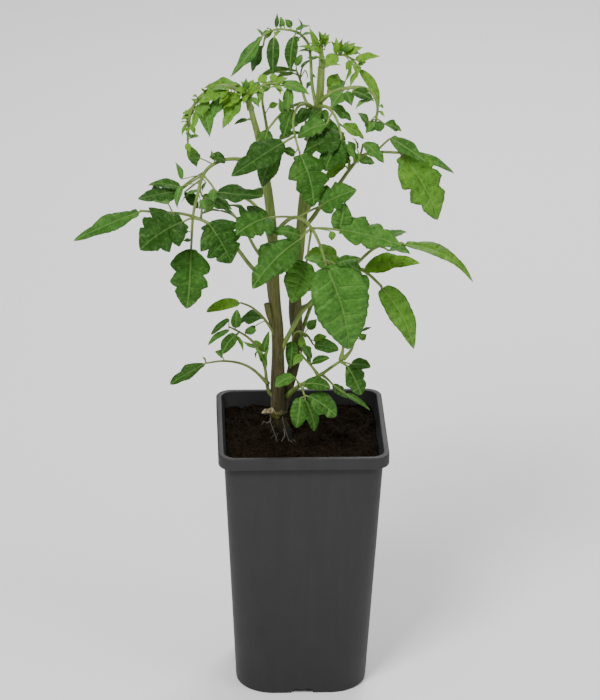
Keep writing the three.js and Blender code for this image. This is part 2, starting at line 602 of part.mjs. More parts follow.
// Pot: outside up, over the lip with its open underside, inside down to the floor
const LIP_FOOT = POT_HEIGHT - LIP_HEIGHT;
const FLOOR_TOP = FOOT_DEPTH + WALL;
const bodyShare = (z) => Math.min(1, z / LIP_FOOT);
const bodyWidth = (z) => THREE.MathUtils.lerp(BODY_FOOT_WIDTH, BODY_TOP_WIDTH, bodyShare(z));
const bodyRadius = (z) => THREE.MathUtils.lerp(BODY_FOOT_RADIUS, BODY_TOP_RADIUS, bodyShare(z));
const bodyRing = (z, inset) => roundedSquare(bodyWidth(z) - 2 * inset, bodyRadius(z) - inset, z);

function potSolid() {
  const lipInner = POT_WIDTH - 2 * LIP_THICKNESS;
  const flare = 1 - LIP_HOLLOW / LIP_HEIGHT;
  const hollowTop = THREE.MathUtils.lerp(BODY_TOP_WIDTH, MOUTH_WIDTH + 2 * WALL, flare);
  const shell = solid(loft([
    bodyRing(FOOT_DEPTH, WALL),
    bodyRing(0, WALL),
    bodyRing(0, FOOT_CHAMFER / 2),
    bodyRing(FOOT_CHAMFER, 0),
    bodyRing(LIP_FOOT, 0),
    roundedSquare(hollowTop, MOUTH_RADIUS, POT_HEIGHT - LIP_HOLLOW),
    roundedSquare(lipInner, RIM_RADIUS - LIP_THICKNESS, POT_HEIGHT - LIP_HOLLOW),
    roundedSquare(lipInner, RIM_RADIUS - LIP_THICKNESS, LIP_FOOT),
    roundedSquare(POT_WIDTH - TOP_ROUND, RIM_RADIUS - TOP_ROUND / 2, LIP_FOOT),
    roundedSquare(POT_WIDTH, RIM_RADIUS, LIP_FOOT + TOP_ROUND),
    roundedSquare(POT_WIDTH, RIM_RADIUS, POT_HEIGHT - TOP_ROUND),
    roundedSquare(POT_WIDTH - 2 * TOP_ROUND, RIM_RADIUS - TOP_ROUND, POT_HEIGHT),
    roundedSquare(MOUTH_WIDTH, MOUTH_RADIUS, POT_HEIGHT),
    bodyRing(LIP_FOOT, WALL),
    bodyRing(FLOOR_TOP, WALL),
  ]));
  const boss = new THREE.CylinderGeometry(BOSS_RADIUS, BOSS_RADIUS, FLOOR_TOP, BOSS_SIDES);
  const supports = [boss.rotateX(Math.PI / 2)];
  for (const turn of [Math.PI / 4, (3 * Math.PI) / 4]) {
    supports.push(new THREE.BoxGeometry(RIB_SPAN, RIB_WIDTH, FLOOR_TOP).rotateZ(turn));
  }
  const underside = join(supports.map((shape) => solid(shape.translate(0, 0, FLOOR_TOP / 2 - RIB_DROP))));
  const ground = solid(new THREE.BoxGeometry(POT_WIDTH, POT_WIDTH, 2).translate(0, 0, -1));
  const cuts = [];
  for (let side = 0; side < 4; side += 1) {
    const turn = (Math.PI / 2) * side;
    const mouth = new THREE.Shape([
      new THREE.Vector2(-NOTCH_WIDTH / 2 - NOTCH_FLARE, -1),
      new THREE.Vector2(NOTCH_WIDTH / 2 + NOTCH_FLARE, -1),
      new THREE.Vector2(NOTCH_WIDTH / 2, NOTCH_HEIGHT),
      new THREE.Vector2(-NOTCH_WIDTH / 2, NOTCH_HEIGHT),
    ]);
    cuts.push(new THREE.ExtrudeGeometry(mouth, { depth: NOTCH_DEPTH, bevelEnabled: false })
      .rotateX(Math.PI / 2).translate(0, (BODY_FOOT_WIDTH + NOTCH_DEPTH) / 2, 0).rotateZ(turn));
    cuts.push(new THREE.CylinderGeometry(DRAIN_RADIUS, DRAIN_RADIUS, 3 * FLOOR_TOP, DRAIN_SIDES)
      .rotateX(Math.PI / 2).translate(0, DRAIN_OFFSET, 0).rotateZ(turn));
  }
  return cuts.reduce((pot, cut) => pot.subtract(solid(cut)), shell.add(underside).subtract(ground));
}

// Soil: fills the pot and is lumpy on top, with a plain hole for the stem
const SOIL_TOP = POT_HEIGHT - SOIL_DROP;
const lump = (x, y) => SOIL_LUMP * (Math.sin(x * 0.21 + 1.3) * Math.cos(y * 0.17 - 0.4)
  + 0.5 * Math.sin(x * 0.43 - y * 0.37) + 0.35 * Math.cos(x * 0.13 + y * 0.51 + 2));

function soilSolid() {
  const inset = WALL + SEAT_GAP;
  const floor = FLOOR_TOP + SEAT_GAP;
  const rings = [bodyRing(floor, inset), bodyRing(SOIL_TOP - 2, inset)];
  for (let r = SOIL_RINGS; r > 0; r -= 1) {
    const share = (r - 0.4) / SOIL_RINGS;
    rings.push(bodyRing(SOIL_TOP, inset).map((p) => {
      const [x, y] = [p.x * share, p.y * share];
      return new THREE.Vector3(x, y, SOIL_TOP + lump(x, y));
    }));
  }
  return solid(loft(rings)).subtract(stemSolid(SEAT_GAP));
}

// Stems: two shoots on one rootstock, with the graft union low down
function stemSolid(extra = 0) {
  const union = new THREE.IcosahedronGeometry(1, 1)
    .scale(...GRAFT.size.map((half) => half + extra)).translate(...GRAFT.at);
  return join([
    solid(taperedTube(STEM_LEFT, STEM_STEPS, STEM_SIDES, extra)),
    solid(taperedTube(STEM_RIGHT, STEM_STEPS, STEM_SIDES, extra)),
    solid(taperedTube(GRAFT_STUB, STUB_STEPS, STUB_SIDES, extra)),
    solid(taperedTube(CUT_STUB, STUB_STEPS, STUB_SIDES, extra)),
    solid(union),
  ]);
}

// One blade on its own stalk: rows of left, middle and right points from the root to the tip,
// closed below by the same rows set down by the thickness, and by more at the midrib
function bladeSolid({ root, base, tip, width, roll, lobes, arch, face, form }) {
  const axis = tip.clone().sub(base);
  const length = axis.length();
  axis.normalize();
  const up = vec(face).projectOnPlane(axis).normalize();
  up.applyAxisAngle(axis, THREE.MathUtils.degToRad(roll));
  const side = axis.clone().cross(up);
  const at = (t, across) => {
    const reach = Math.abs(across) * (width / 2);
    return base.clone()
      .addScaledVector(axis, t * length + lean(t) * reach)
      .addScaledVector(side, across * (width / 2))
      .addScaledVector(up, arch * length * 4 * t * (1 - t) + BLADE_FOLD * reach);
  };
  const neck = Math.min(NECK, NECK_SHARE * width);
  const course = base.clone().sub(root).normalize();
  const give = -NECK_TURN * Math.max(0, up.dot(course));
  const crest = up.clone().addScaledVector(axis, give).projectOnPlane(course).normalize();
  const across = (centre, raise) => [-neck, 0, neck].map((w) => centre.clone().addScaledVector(raise, w));
  const rows = [across(root, course.clone().cross(crest))];
  const rises = [crest];
  if (root.distanceTo(base) > CLOSE) {
    rows.push(across(base, side));
    rises.push(crest.clone().add(up).normalize());
  }
  for (const [t, share] of outline(width, lobes, form)) {
    rows.push([at(t, -share), at(t, 0), at(t, share)]);
    rises.push(up);
  }
  const upper = [...rows.flat(), at(1, 0)];
  rises.push(up);
  const tipIndex = upper.length - 1;
  const faces = [];
  for (let r = 0; r + 1 < rows.length; r += 1) {
    for (const s of [0, 1]) {
      const [a, b] = [3 * r + s, 3 * r + s + 1];
      faces.push([a, b, b + 3], [a, b + 3, a + 3]);
    }
  }
  const last = 3 * (rows.length - 1);
  faces.push([last, last + 1, tipIndex], [last + 1, last + 2, tipIndex]);
  const rim = [...rows.map((row, r) => 3 * r), tipIndex, ...rows.map((row, r) => 3 * r + 2).reverse(), 1];
  const rib = (i) => (i % 3 === 1 ? RIB_DEPTH * (1 - Math.floor(i / 3) / rows.length) : 0);
  const drop = (i) => -BLADE_THICKNESS - rib(i);
  const under = upper.map((p, i) => p.clone().addScaledVector(rises[Math.floor(i / 3)], drop(i)));
  const n = upper.length;
  const triangles = [...faces, ...faces.map(([a, b, c]) => [n + a, n + c, n + b])];
  rim.forEach((a, i) => {
    const b = rim[(i + 1) % rim.length];
    triangles.push([a, b, n + b], [a, n + b, n + a]);
  });
  return solid(meshGeometry([...upper, ...under], triangles));
}

// Small seeded offsets, so that no two blades start from exactly the same point
let seed = 7;
function draw() {
  seed = (seed * 16807) % 2147483647;
  return seed / 2147483647 - 0.5;
}
const scatter = () => new THREE.Vector3(draw(), draw(), draw()).multiplyScalar(SCATTER);

// One frond: its stalk and its blades
function frondSolids({ stalk, girth, face, form, blades }) {
  const curve = new THREE.CatmullRomCurve3(stalk.map(vec), false, 'centripetal');
  const taper = (i) => THREE.MathUtils.lerp(1, STALK_END, i / (stalk.length - 1));
  const tapered = stalk.map((p, i) => [...p, Math.max(THINNEST, girth * taper(i))]);
  const steps = Math.max(2, Math.round(curve.getLength() / STALK_STEP));
  const sunk = 1 - SINK / curve.getLength();
  // A blade's root lies on the straight runs of the stalk's tube, not on the curve beside them
  const onTube = (share) => {
    const run = Math.min(steps - 1, Math.floor(share * steps));
    return curve.getPointAt(run / steps).lerp(curve.getPointAt((run + 1) / steps), share * steps - run);
  };
  const leaflets = blades.map(([share, start, end, width, roll, lobes, arch = BLADE_ARCH]) => {
    const root = onTube(Math.min(share, sunk)).add(scatter());
    const tip = vec(end);
    const base = start ? vec(start) : root.clone().lerp(tip, NEAR);
    return bladeSolid({ root, base, tip, width, roll, lobes, arch, face, form });
  });
  const sides = girth < SLIM_GIRTH ? SLIM_SIDES : STALK_SIDES;
  return [solid(taperedTube(tapered, steps, sides)), ...leaflets];
}

// The whole plant
const finish = {
  pot: { color: 0x46474a, roughness: 0.55, metalness: 0 },
  soil: { color: 0x1f1712, roughness: 1, metalness: 0 },
  stems: { color: 0x76713f, roughness: 0.7, metalness: 0 },
  leaf: { color: 0x3f7f22, roughness: 0.6, metalness: 0 },
};

const plant = new THREE.Group();

function addPiece(name, manifold, look) {
  const mesh = new THREE.Mesh(geometryOf(manifold), new THREE.MeshStandardMaterial(look));
  mesh.name = name;
  plant.add(mesh);
}

addPiece('pot', potSolid(), finish.pot);
addPiece('soil', soilSolid(), finish.soil);
addPiece('stems', stemSolid(), finish.stems);
const clearance = stemSolid(SEAT_GAP);
for (const [name, fronds] of Object.entries(LEAVES)) {
  const whole = join(fronds.flatMap(frondSolids)).subtract(clearance);
  const body = whole.decompose().sort((a, b) => b.volume() - a.volume())[0];
  addPiece(name, body, finish.leaf);
}

export default plant;
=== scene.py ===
import math
from collections import namedtuple

import bpy
import numpy as np
from mathutils import Matrix, Vector, geometry


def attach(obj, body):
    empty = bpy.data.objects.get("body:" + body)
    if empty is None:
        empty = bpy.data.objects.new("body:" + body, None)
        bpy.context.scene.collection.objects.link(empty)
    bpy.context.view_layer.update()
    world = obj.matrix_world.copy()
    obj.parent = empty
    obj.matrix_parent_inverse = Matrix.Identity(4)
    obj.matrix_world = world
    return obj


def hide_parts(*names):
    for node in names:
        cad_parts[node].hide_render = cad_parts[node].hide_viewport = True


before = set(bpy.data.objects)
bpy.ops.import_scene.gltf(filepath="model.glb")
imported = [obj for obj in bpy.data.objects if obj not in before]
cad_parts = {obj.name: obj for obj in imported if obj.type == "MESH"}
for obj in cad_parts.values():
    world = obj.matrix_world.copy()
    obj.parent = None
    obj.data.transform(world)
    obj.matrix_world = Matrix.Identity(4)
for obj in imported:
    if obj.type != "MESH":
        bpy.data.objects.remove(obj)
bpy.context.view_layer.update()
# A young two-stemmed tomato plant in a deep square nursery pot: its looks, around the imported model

MM = 0.001

# Camera: the photograph's view of the pot and plant, sizes in millimetres and degrees
FRAME_HEIGHT_PX = 700
FOCAL_PX = 3577
SENSOR = 36
CAMERA_AZIMUTH = -2.278
CAMERA_ELEVATION = 23.649
CAMERA_ROLL = 0.402
CAMERA_DISTANCE = 2314.2
CAMERA_TARGET = (-1.25, 0, 229.2)

# Pot
POT_WIDTH = 110
POT_HEIGHT = 177
WALL = 1.6
LIP_HEIGHT = 8
LIP_FOOT = POT_HEIGHT - LIP_HEIGHT
LIP_THICKNESS = 1.6
LIP_HOLLOW = 4  # how far the open underside of the lip stays below the rim
LIP_EDGE = 0.8  # radius of the lip's rounded edges
LIP_BEVEL = 0.3
RIM_FLAT = 1.8  # how far in a ring runs along the rim's flat top
RIM_RADIUS = 10.5
MOUTH_WIDTH = 102.8
MOUTH_RADIUS = 8.5
MOUTH_EDGE = 0.6
BODY_TOP_WIDTH = POT_WIDTH - 7.6
BODY_TOP_RADIUS = 9
BODY_FOOT_WIDTH = 86
BODY_FOOT_RADIUS = 25
FOOT_DEPTH = 4.3
FOOT_EDGE = [(0.5, WALL), (0, 1.1), (0.35, 0.55), (1.2, 0.12), (2.6, 0)]  # height and inset, from inside
FLOOR_TOP = FOOT_DEPTH + WALL
OUTER_HEIGHTS = (4.2, *np.linspace(7, 150, 14), 160, LIP_FOOT - 3, LIP_FOOT)
NOTCH_WIDTH = 13
NOTCH_HEIGHT = 3.3
NOTCH_FLARE = 0.9
DRAIN_RADIUS = 5
DRAIN_OFFSET = 21  # from the middle of the floor
DRAIN_SIDES = 32
PAD_RADIUS = 9  # the round foot under the middle of the floor
PAD_SIDES = 48
RIB_SPAN = BODY_FOOT_WIDTH - 6
RIB_WIDTH = 2.4
SUPPORT_DROP = 0.2  # the pad and ribs end this far below the floor's upper face
CORNER_STEPS = 18
SIDE_STEPS = 44
EDGE_STEPS = 5

# Soil
SOIL_TOP = POT_HEIGHT - 9
SOIL_GAP = 0.15  # between soil and wall
SOIL_LUMP = 1.6
SOIL_GRAINS = [(6.5, 1.0, 120), (2.6, 0.8, 120), (1.2, 0.5, 160)]  # spacing, height, count each way
GRAIN_MIDDLE = 50  # the place in the grains' tables of the pot's axis
SOIL_EDGE_DROP = 1.2
SOIL_RINGS = 56
CRUMBS = 2600
CRUMB_SIZE = (0.3, 1.2)  # of the smallest, and how much larger the largest are
CRUMB_STRETCH = (0.6, 1.2)
CRUMB_INSET = 2.5  # how far crumbs stay from the wall
FIBRES = 320
FIBRE_LENGTH = (2.5, 8)
FIBRE_RADIUS = (0.06, 0.16)
FIBRE_BEND = 0.9
FIBRE_LIFT = 0.12
FIBRE_TILT = 0.35
FIBRE_INSET = 6
FIBRE_POINTS = 7
SOIL, FIBRE = 0, 1  # places in the soil's list of materials

# Stems: centre line and radius, [x, y, z, radius] in millimetres
STEM_LEFT = [
    [-8, -5, 140, 4.2], [-10, -6, 168, 4.8], [-15, -6, 184, 4.6], [-15.6, -6, 198, 4.6], [-15.6, -7, 225, 4],
    [-16, -7, 246, 3.9], [-18.9, -8, 279, 4.3], [-19.5, -8, 312, 3.1], [-21.8, -9, 337, 2.9],
    [-25.4, -10, 361, 2.5], [-29, -10, 381, 2.1], [-32, -12, 393, 1.9], [-33.5, -12, 400, 1.7],
]
STEM_RIGHT = [
    [-13, -4, 186, 3.4], [-11, -1, 196, 3.6], [-6, 2, 213, 3.5], [-2.6, 5, 233, 3.7], [-3.9, 8, 250, 4.5],
    [-3.9, 10, 274, 3.6], [-1.3, 12, 300, 3.3], [0.6, 12, 324, 3.1], [2.6, 12, 349, 2.9], [5.9, 12, 373, 2.7],
    [9.8, 11, 392, 2.6], [11, 10, 408, 2.4], [11.4, 10, 419, 2.1],
]
CUT_STUB = [[-16.6, -7.5, 244, 2.2], [-21.4, -10, 258, 1.9], [-23.3, -11, 266.4, 1.9]]
STUB_CUT = [(0.25, 0.93), (0.35, 0.75), (0.15, 0.4)]  # rings of its cut face: how far out, share of radius
GRAFT_AT = (-15.5, -6.5, 188)
GRAFT_SIZE = (5.8, 5.6, 4)
GRAFT_RINGS, GRAFT_SIDES = 18, 26
GRAFT_STUB = [
    [-15, -7, 188.5, 3], [-20, -9, 189.6, 2.5], [-23.8, -10.3, 190.2, 1.7], [-26.2, -11, 189.6, 0.5],
]
ROOTLETS = [
    [[-19, -8, 189], [-20.6, -9.5, 184.5], [-18.9, -10.3, 177.7], [-16.3, -11.6, 170.5], [-15, -12.5, 166]],
    [[-13.4, -10.4, 191], [-12.2, -10.9, 183], [-10.3, -11.2, 175.5], [-8, -12.2, 168.5], [-7, -12.6, 165]],
    [[-12, -10.4, 178], [-11.3, -12.3, 174], [-13, -13, 171], [-14, -13.5, 166]],
    [[-19.5, -8, 184], [-22.5, -9, 181.5], [-25, -10, 183], [-26, -10.5, 181]],
]
ROOTLET_RADIUS = 0.42
ROOT_THREADS = 26
THREAD_FOOT = (166, 183)  # the heights between which they leave the stem
THREAD_REACH = (2, 6)
THREAD_RADII = (0.16, 0.07)
THREAD_POINTS = 7
STEM_STEP = 1.6
STEM_SIDES = 28
STEM_RIBS = {"ribs": 0.035, "rib_count": 5}
STEM_HAIRS = 6  # for each millimetre
STEM_HAIR_LENGTH = 1.5
STEM, STEM_HAIR, STUB, ROOTLET, GRAFT = range(5)  # places in the stems' list of materials

# Leaves, side shoots and shoot tips, in millimetres. Each name is one piece made of fronds. A frond has the
# points of its stalk, the stalk's radius where it starts, its blades and then its smallest leaflets. A blade
# is [share along the stalk, base or None for one close to the stalk, tip, width, lobes on a side, arch, roll
# in degrees], without those at the end that are as in BLADE_USUAL. A leaflet is [share, base, tip, width].
# The face is the way that a frond's blades look, and the form is their outline.
TOWARDS_VIEWER = [0, -0.6, 1]
TOWARDS_BACK = [0, 0.6, 1]
UPWARD = [0, 0, 1]
# Blade outlines: how far along the blade is widest (below 1, nearer its base) and how blunt its ends are
POINTED = (0.56, 0.72)
OVAL = (0.72, 0.58)
SLENDER = (0.6, 1)
BLADE_ARCH = 0.09
BLADE_USUAL = (0, BLADE_ARCH, 0)
Frond = namedtuple("Frond", "stalk girth blades sprigs face form", defaults=((), TOWARDS_VIEWER, POINTED))
LEAVES = {
    "leaf_front": [Frond(
        [[-19, -8, 311.5], [-13, -15, 323], [-6.5, -23, 330.5], [0, -32, 331.5], [5, -40, 328],
          [9, -45, 320.5], [12.5, -48, 309.5]], 1.5,
        [[1, None, [28, -46, 249.5], 38], [0.66, [-4, -42, 323], [-33.5, -54, 295], 27, 1],
          [0.66, [-3, -37, 323.5], [-22, -40, 328], 13, 1],
          [0.4, [-22.5, -36, 336], [-43.5, -46, 328], 29, 2],
          [0.66, [21.5, -47, 331.5], [59, -56, 324], 24, 2, 0.04],
          [0.66, [21, -45, 331], [24.5, -40, 347], 13.5],
          [0.97, [16.5, -46, 306.5], [-0.5, -44, 311.5], 11, 1],
          [0.97, [19, -47, 308.5], [35.5, -44, 310.5], 8.5, 1],
          [0.45, [10, -33, 342.5], [32, -38, 354.5], 23, 2], [0.66, [1, -34, 304.5], [-8, -35, 277], 19.5]],
        [[0.66, [16, -46, 330], [16, -47, 324], 5]],
    )],
    "leaf_left_hanging": [Frond(
        [[-26, -10, 361], [-40, -17, 367.5], [-50.5, -23, 369.5], [-60.5, -28, 366], [-64.5, -31, 360.5],
          [-67.5, -34, 349.5], [-70, -37, 339], [-71.5, -40, 318]], 1.4,
        [[1, None, [-74.5, -44, 277.5], 27, 2], [0.8, [-76.5, -42, 336], [-103.5, -52, 321], 36.5, 2],
          [0.8, [-60.5, -42, 334.5], [-46.5, -46, 309], 31, 2],
          [0.5, [-79, -28, 351], [-104.5, -34, 348], 15, 2, -0.02],
          [0.47, [-78, -26, 352.5], [-98, -27, 354.5], 9],
          [0.53, [-75.5, -25, 348], [-66.5, -20, 336], 9.5, 1],
          [0.6, [-64, -30, 348], [-46.5, -26, 335], 11.5, 1],
          [0.5, [-55, -36, 353], [-26.5, -44, 353], 16, 1, 0],
          [0.36, [-50, -26, 370.5], [-60, -30, 374], 8.5, 1],
          [0.4, [-65.5, -29, 373], [-73, -26, 371.5], 7.5, 1]],
        [[0.56, [-77, -30, 355], [-80, -36, 342], 5], [0.5, [-77, -26, 358], [-81, -22, 368], 4],
          [0.55, [-65.5, -29, 351.5], [-77.5, -27, 342.5], 6],
          [0.62, [-65.5, -33, 346.5], [-62, -37, 340], 4], [0.9, [-73.5, -39, 328], [-79, -39, 327], 4.5],
          [0.93, [-72, -39, 322], [-76.5, -39, 321.5], 2.5], [0.52, [-62, -30, 357], [-64, -31, 351], 4],
          [0.5, [-57, -33, 354], [-57.5, -34, 345.5], 6], [0.38, [-57, -28, 371.5], [-58.5, -29, 378.5], 3]],
    )],
    "leaf_left_long": [Frond(
        [[-19, -8, 277], [-33, 4, 286.5], [-42.5, 10, 297.5], [-53, 13, 307.5], [-63, 14, 314],
          [-74.5, 14, 318.5], [-89, 12, 321], [-103, 8, 323.5]], 1.5,
        [[1, None, [-146, 0, 306.5], 16, 1, 0.05], [0.62, [-63.5, 18, 327.5], [-44.5, 30, 315.5], 13, 1],
          [0.8, [-85.5, 20, 323.5], [-99.5, 44, 317], 9, 1], [0.8, [-87.5, 6, 319.5], [-94, -6, 312], 9]],
    )],
    "leaf_left_back": [Frond(
        [[-20, -8, 288], [-31, 10, 298], [-37.5, 20, 308], [-45, 28, 313], [-51.5, 34, 313]], 1.3,
        [[1, None, [-65, 47, 305], 6.5], [0.75, [-48.5, 36, 315.5], [-34.5, 50, 305.5], 9, 1]],
        face=TOWARDS_BACK,
    )],
    "leaf_centre_upper": [Frond(
        [[9, 11, 389], [1.5, -2, 398.5], [-4.5, -14, 400.5], [-7.5, -22, 394.5], [-6, -27, 385],
          [-3.5, -30, 376.5]], 1.2,
        [[1, None, [5, -36, 342.5], 27.5, 2], [0.83, [-14, -34, 385], [-46.5, -48, 368], 22, 1, 0.05],
          [0.83, [-17.5, -25, 378], [-27, -24, 351.5], 16],
          [0.95, [-6.5, -29, 375.5], [-15, -30, 378.5], 7]],
        [[0.12, [5.5, 4, 393.5], [0.5, -4, 386.5], 6], [0.22, [1.5, 0, 395], [-4, -8, 391], 4.5]],
    ), Frond(
        [[9, 11, 389], [1, 4, 397], [-9, -5, 397.5], [-16.5, -10, 393], [-23, -14, 386]], 1.3,
        [[1, None, [-25.5, -18, 376.5], 11, 1], [0.5, [-7, -8, 397], [-13, -15, 381.5], 14, 1],
          [0.25, [1.5, 3, 393], [-3.5, -3, 385.5], 8.5, 1]],
        [[0.62, [-9, -5, 398.5], [-11, -6, 409.5], 6], [0.7, [-13.5, -8, 395.5], [-16, -8, 405], 4.5]],
    )],
    "leaf_front_right": [Frond(
        [[9.5, 10, 391.5], [13.5, 2, 395.5], [17.5, -6, 395], [21, -15, 390.5], [23, -20, 382.5]], 1.2,
        [[1, None, [-1, -19, 372], 22.5, 2], [0.5, [13.5, -14, 389.5], [-4.5, -16, 381], 15.5, 2],
          [0.75, [24, -12, 387.5], [38, -6, 376.5], 11.5, 1], [0.3, [17, 1, 395.5], [30.5, 4, 385], 9.5, 1],
          [0.15, [11, 0, 393], [2, -7, 385.5], 9.5, 1],
          [0.85, [21.5, -10, 382.5], [6.5, -5, 386.5], 13.5, 1], [1, None, [12.5, -27, 363], 22, 1]],
        [[0.1, [12, 6, 391], [16, -3, 386], 6], [0.06, [10, 7, 390], [10.5, -2, 384], 5],
          [0.97, [24, -18, 377], [32, -16, 365], 6]],
    )],
    "leaf_right_upper": [Frond(
        [[-1.5, 12, 306], [7, 8, 318.5], [12.5, 4, 329], [21.5, 0, 342], [30, -2, 355.5], [37, -4, 364.5],
          [47, -6, 367.5], [61, -10, 368.5]], 1.6,
        [[1, None, [85, -14, 324.5], 32, 2], [0.83, [54.5, -9, 378], [76.5, -18, 365], 12, 1],
          [0.95, [68.5, 2, 363], [97.5, 18, 343.5], 8.5, 1],
          [0.72, [37.5, -12, 376], [50, -17, 364.5], 12, 1], [0.68, [35, 3, 359], [46, 10, 354], 8.5],
          [0.6, [27, 6, 354], [12.5, 14, 338.5], 9.5, 1], [0.7, [31.5, -7, 367.5], [27.5, -10, 376.5], 7],
          [0.62, [28.5, -8, 364.5], [19, -13, 361.5], 9, 1], [0.66, [32, -9, 370], [22, -15, 372], 8.5, 1]],
        [[0.66, [30.5, -9, 370], [25.5, -14, 364.5], 4.5], [0.6, [28.5, -8, 369], [23.5, -14, 375], 4],
          [0.72, [33.5, -9, 371.5], [30, -14, 380], 4], [0.66, [33, -9, 368], [34, -14, 362.5], 4],
          [0.58, [28.5, -8, 364.5], [22, -14, 367.5], 4]],
    )],
    "leaf_right_arch": [Frond(
        [[10.5, 10, 396], [18.5, 7, 403], [28, 4, 407], [38, 2, 407.5], [43.5, 1, 404], [46.5, 0, 396],
          [45.5, 0, 386]], 1.4,
        [[1, None, [39, -4, 379.5], 7.5], [0.36, [24, 2, 405], [17, -6, 397], 11, 1],
          [0.42, [26.5, 2, 405], [30, -5, 398], 7.5], [0.5, [30.5, 0, 406.5], [44, -6, 401.5], 11, 1],
          [0.92, [40.5, -3, 385.5], [33.5, -5, 393.5], 7, 1],
          [0.97, [51.5, 2, 383.5], [62.5, 6, 377], 9.5, 1], [0.15, [16, 13, 404], [27.5, 20, 405.5], 11.5],
          [0.18, [17, 14, 403.5], [20.5, 8, 395.5], 7.5]],
        [[0.72, [42.5, -3, 401.5], [32, -8, 397], 6], [0.66, [42, 4, 406], [35.5, 6, 401], 4],
          [0.8, [48, 1, 396], [50.5, 2, 394.5], 3], [0.88, [47.5, 1, 392], [51, 2, 388], 4],
          [0.97, [46.5, 2, 385], [49, 4, 377.5], 6.5], [0.97, [42.5, -1, 386.5], [41, -4, 380.5], 6.5],
          [0.16, [17, 13, 402.5], [22.5, 22, 410.5], 9]], form=SLENDER,
    )],
    "shoot_right_top": [Frond(
        [[12.5, 10, 419], [11.5, 10, 425.5], [11, 9, 435.5]], 1.9,
        [[1, None, [9, 6, 444], 4], [0.75, [9, 10, 432], [3.5, 12, 444.5], 4.5]],
        [[0.8, [13, 8, 433.5], [16.5, 6, 441.5], 3], [0.6, [10.5, 8, 429.5], [4.5, 4, 435.5], 3],
          [0.7, [13, 8, 431], [17.5, 4, 437.5], 2.5], [0.88, [10, 7, 435], [9.5, 4, 444.5], 4.5],
          [0.88, [11.5, 8, 434.5], [16, 12, 440], 4], [0.45, [15, 8, 422], [23.5, 4, 422], 2.5],
          [0.62, [10, 13, 427], [-4, 18, 429.5], 4], [0.3, [11, 5, 424], [5, 0, 429.5], 3],
          [0.9, [11.5, 10, 434], [14.5, 16, 440], 3]], form=SLENDER,
    ), Frond(
        [[12.5, 10, 419.5], [17.5, 14, 423.5], [24, 17, 424.5], [30.5, 18, 421.5], [35.5, 17, 415.5]], 1.1,
        [[1, None, [48.5, 14, 390.5], 7, 1, 0.16], [0.7, [33, 16, 421.5], [48.5, 12, 425], 7.5],
          [0.25, [20.5, 12, 426.5], [13.5, 4, 420], 8.5], [0.5, [27, 18, 424.5], [38, 20, 428.5], 6.5, 1]],
        [[0.3, [20.5, 14, 426.5], [20.5, 14, 437.5], 4], [0.55, [26.5, 17, 426.5], [33.5, 22, 430.5], 4],
          [0.55, [28.5, 18, 424.5], [38, 22, 422], 4], [0.5, [25, 18, 427.5], [30, 22, 432], 3],
          [0.75, [31, 17, 420.5], [27, 12, 415.5], 4.5], [0.82, [33, 15, 419], [34, 9, 413], 5],
          [0.9, [35, 18, 417], [40.5, 20, 418.5], 4], [0.4, [24, 17, 425.5], [25, 18, 435], 4],
          [0.6, [29.5, 13, 420.5], [25.5, 6, 410], 4], [0.95, [34.5, 14, 414], [29.5, 8, 406], 4]],
        form=SLENDER,
    )],
    "leaf_top_left": [Frond(
        [[9, 11, 388], [6, 20, 404], [5, 22, 420.5], [3.5, 21.5, 430], [-2, 20, 437.5], [-9.5, 16, 441.5],
          [-18.5, 13, 442.5], [-25.5, 9, 440.5]], 1.2,
        [[1, None, [-46, 0, 416], 10.5, 1, 0.02], [0.86, [-18.5, 12, 438], [-19, 7, 413], 8.5, 1],
          [0.7, [-6, 15, 437], [-8, 11, 414.5], 8.5, 1], [0.86, [-17, 14, 444], [-16.5, 14, 453.5], 3],
          [0.97, [-25.5, 14, 431.5], [-32, 19, 412.5], 11, 1]],
        [[0.82, [-14.5, 15, 443.5], [-13.5, 15, 450.5], 2.5],
          [0.76, [-7.5, 17, 443], [-11.5, 18, 448], 4.5], [0.66, [-1, 20, 440], [-3, 21, 447.5], 2.5],
          [0.62, [-1.5, 17, 437], [7.5, 14, 438.5], 5], [0.7, [-4.5, 18, 440.5], [5, 20, 442.5], 4],
          [0.95, [-26, 10, 440], [-30, 11, 444], 3]], form=SLENDER,
    )],
    "leaf_top_back": [Frond(
        [[8.5, 12, 384], [1.5, 22, 393.5], [-0.5, 29, 401.5], [-3.5, 36, 408]], 1.2,
        [[1, None, [-27, 48, 398], 14, 1], [0.8, [0, 34, 410.5], [15.5, 48, 412.5], 10.5, 1],
          [0.88, [-5.5, 32, 407.5], [-20.5, 30, 400.5], 9, 1]],
        [[0.97, [-3.5, 38, 410], [0.5, 46, 415], 4.5], [0.8, [2, 30, 410], [3, 28, 404], 2.5]],
        face=TOWARDS_BACK,
    )],
    "shoot_left_top": [Frond(
        [[-33.5, -12, 399], [-35.5, -12, 405], [-37, -12, 411.5]], 1.7,
        [[1, None, [-36.5, -14, 420.5], 4.5], [0.6, [-39, -13, 410], [-46, -11, 416.5], 6]],
        [[0.8, [-37, -15, 411.5], [-43.5, -19, 414], 4.5], [0.9, [-36.5, -13, 412], [-40, -10, 417], 3],
          [0.9, [-35.5, -13, 412.5], [-31.5, -10, 418], 4],
          [0.8, [-34.5, -15, 410.5], [-29, -19, 411.5], 4], [0.7, [-36, -15, 410], [-38.5, -22, 406], 4],
          [0.6, [-34.5, -13, 409.5], [-29, -13, 416], 5],
          [0.5, [-36.5, -16, 408.5], [-41.5, -22, 403.5], 5],
          [0.5, [-33, -16, 408], [-28.5, -22, 403.5], 5]], form=SLENDER,
    ), Frond(
        [[-34.5, -12, 403], [-41, -15, 412], [-49, -17, 416], [-58, -19, 415], [-65.5, -20, 410],
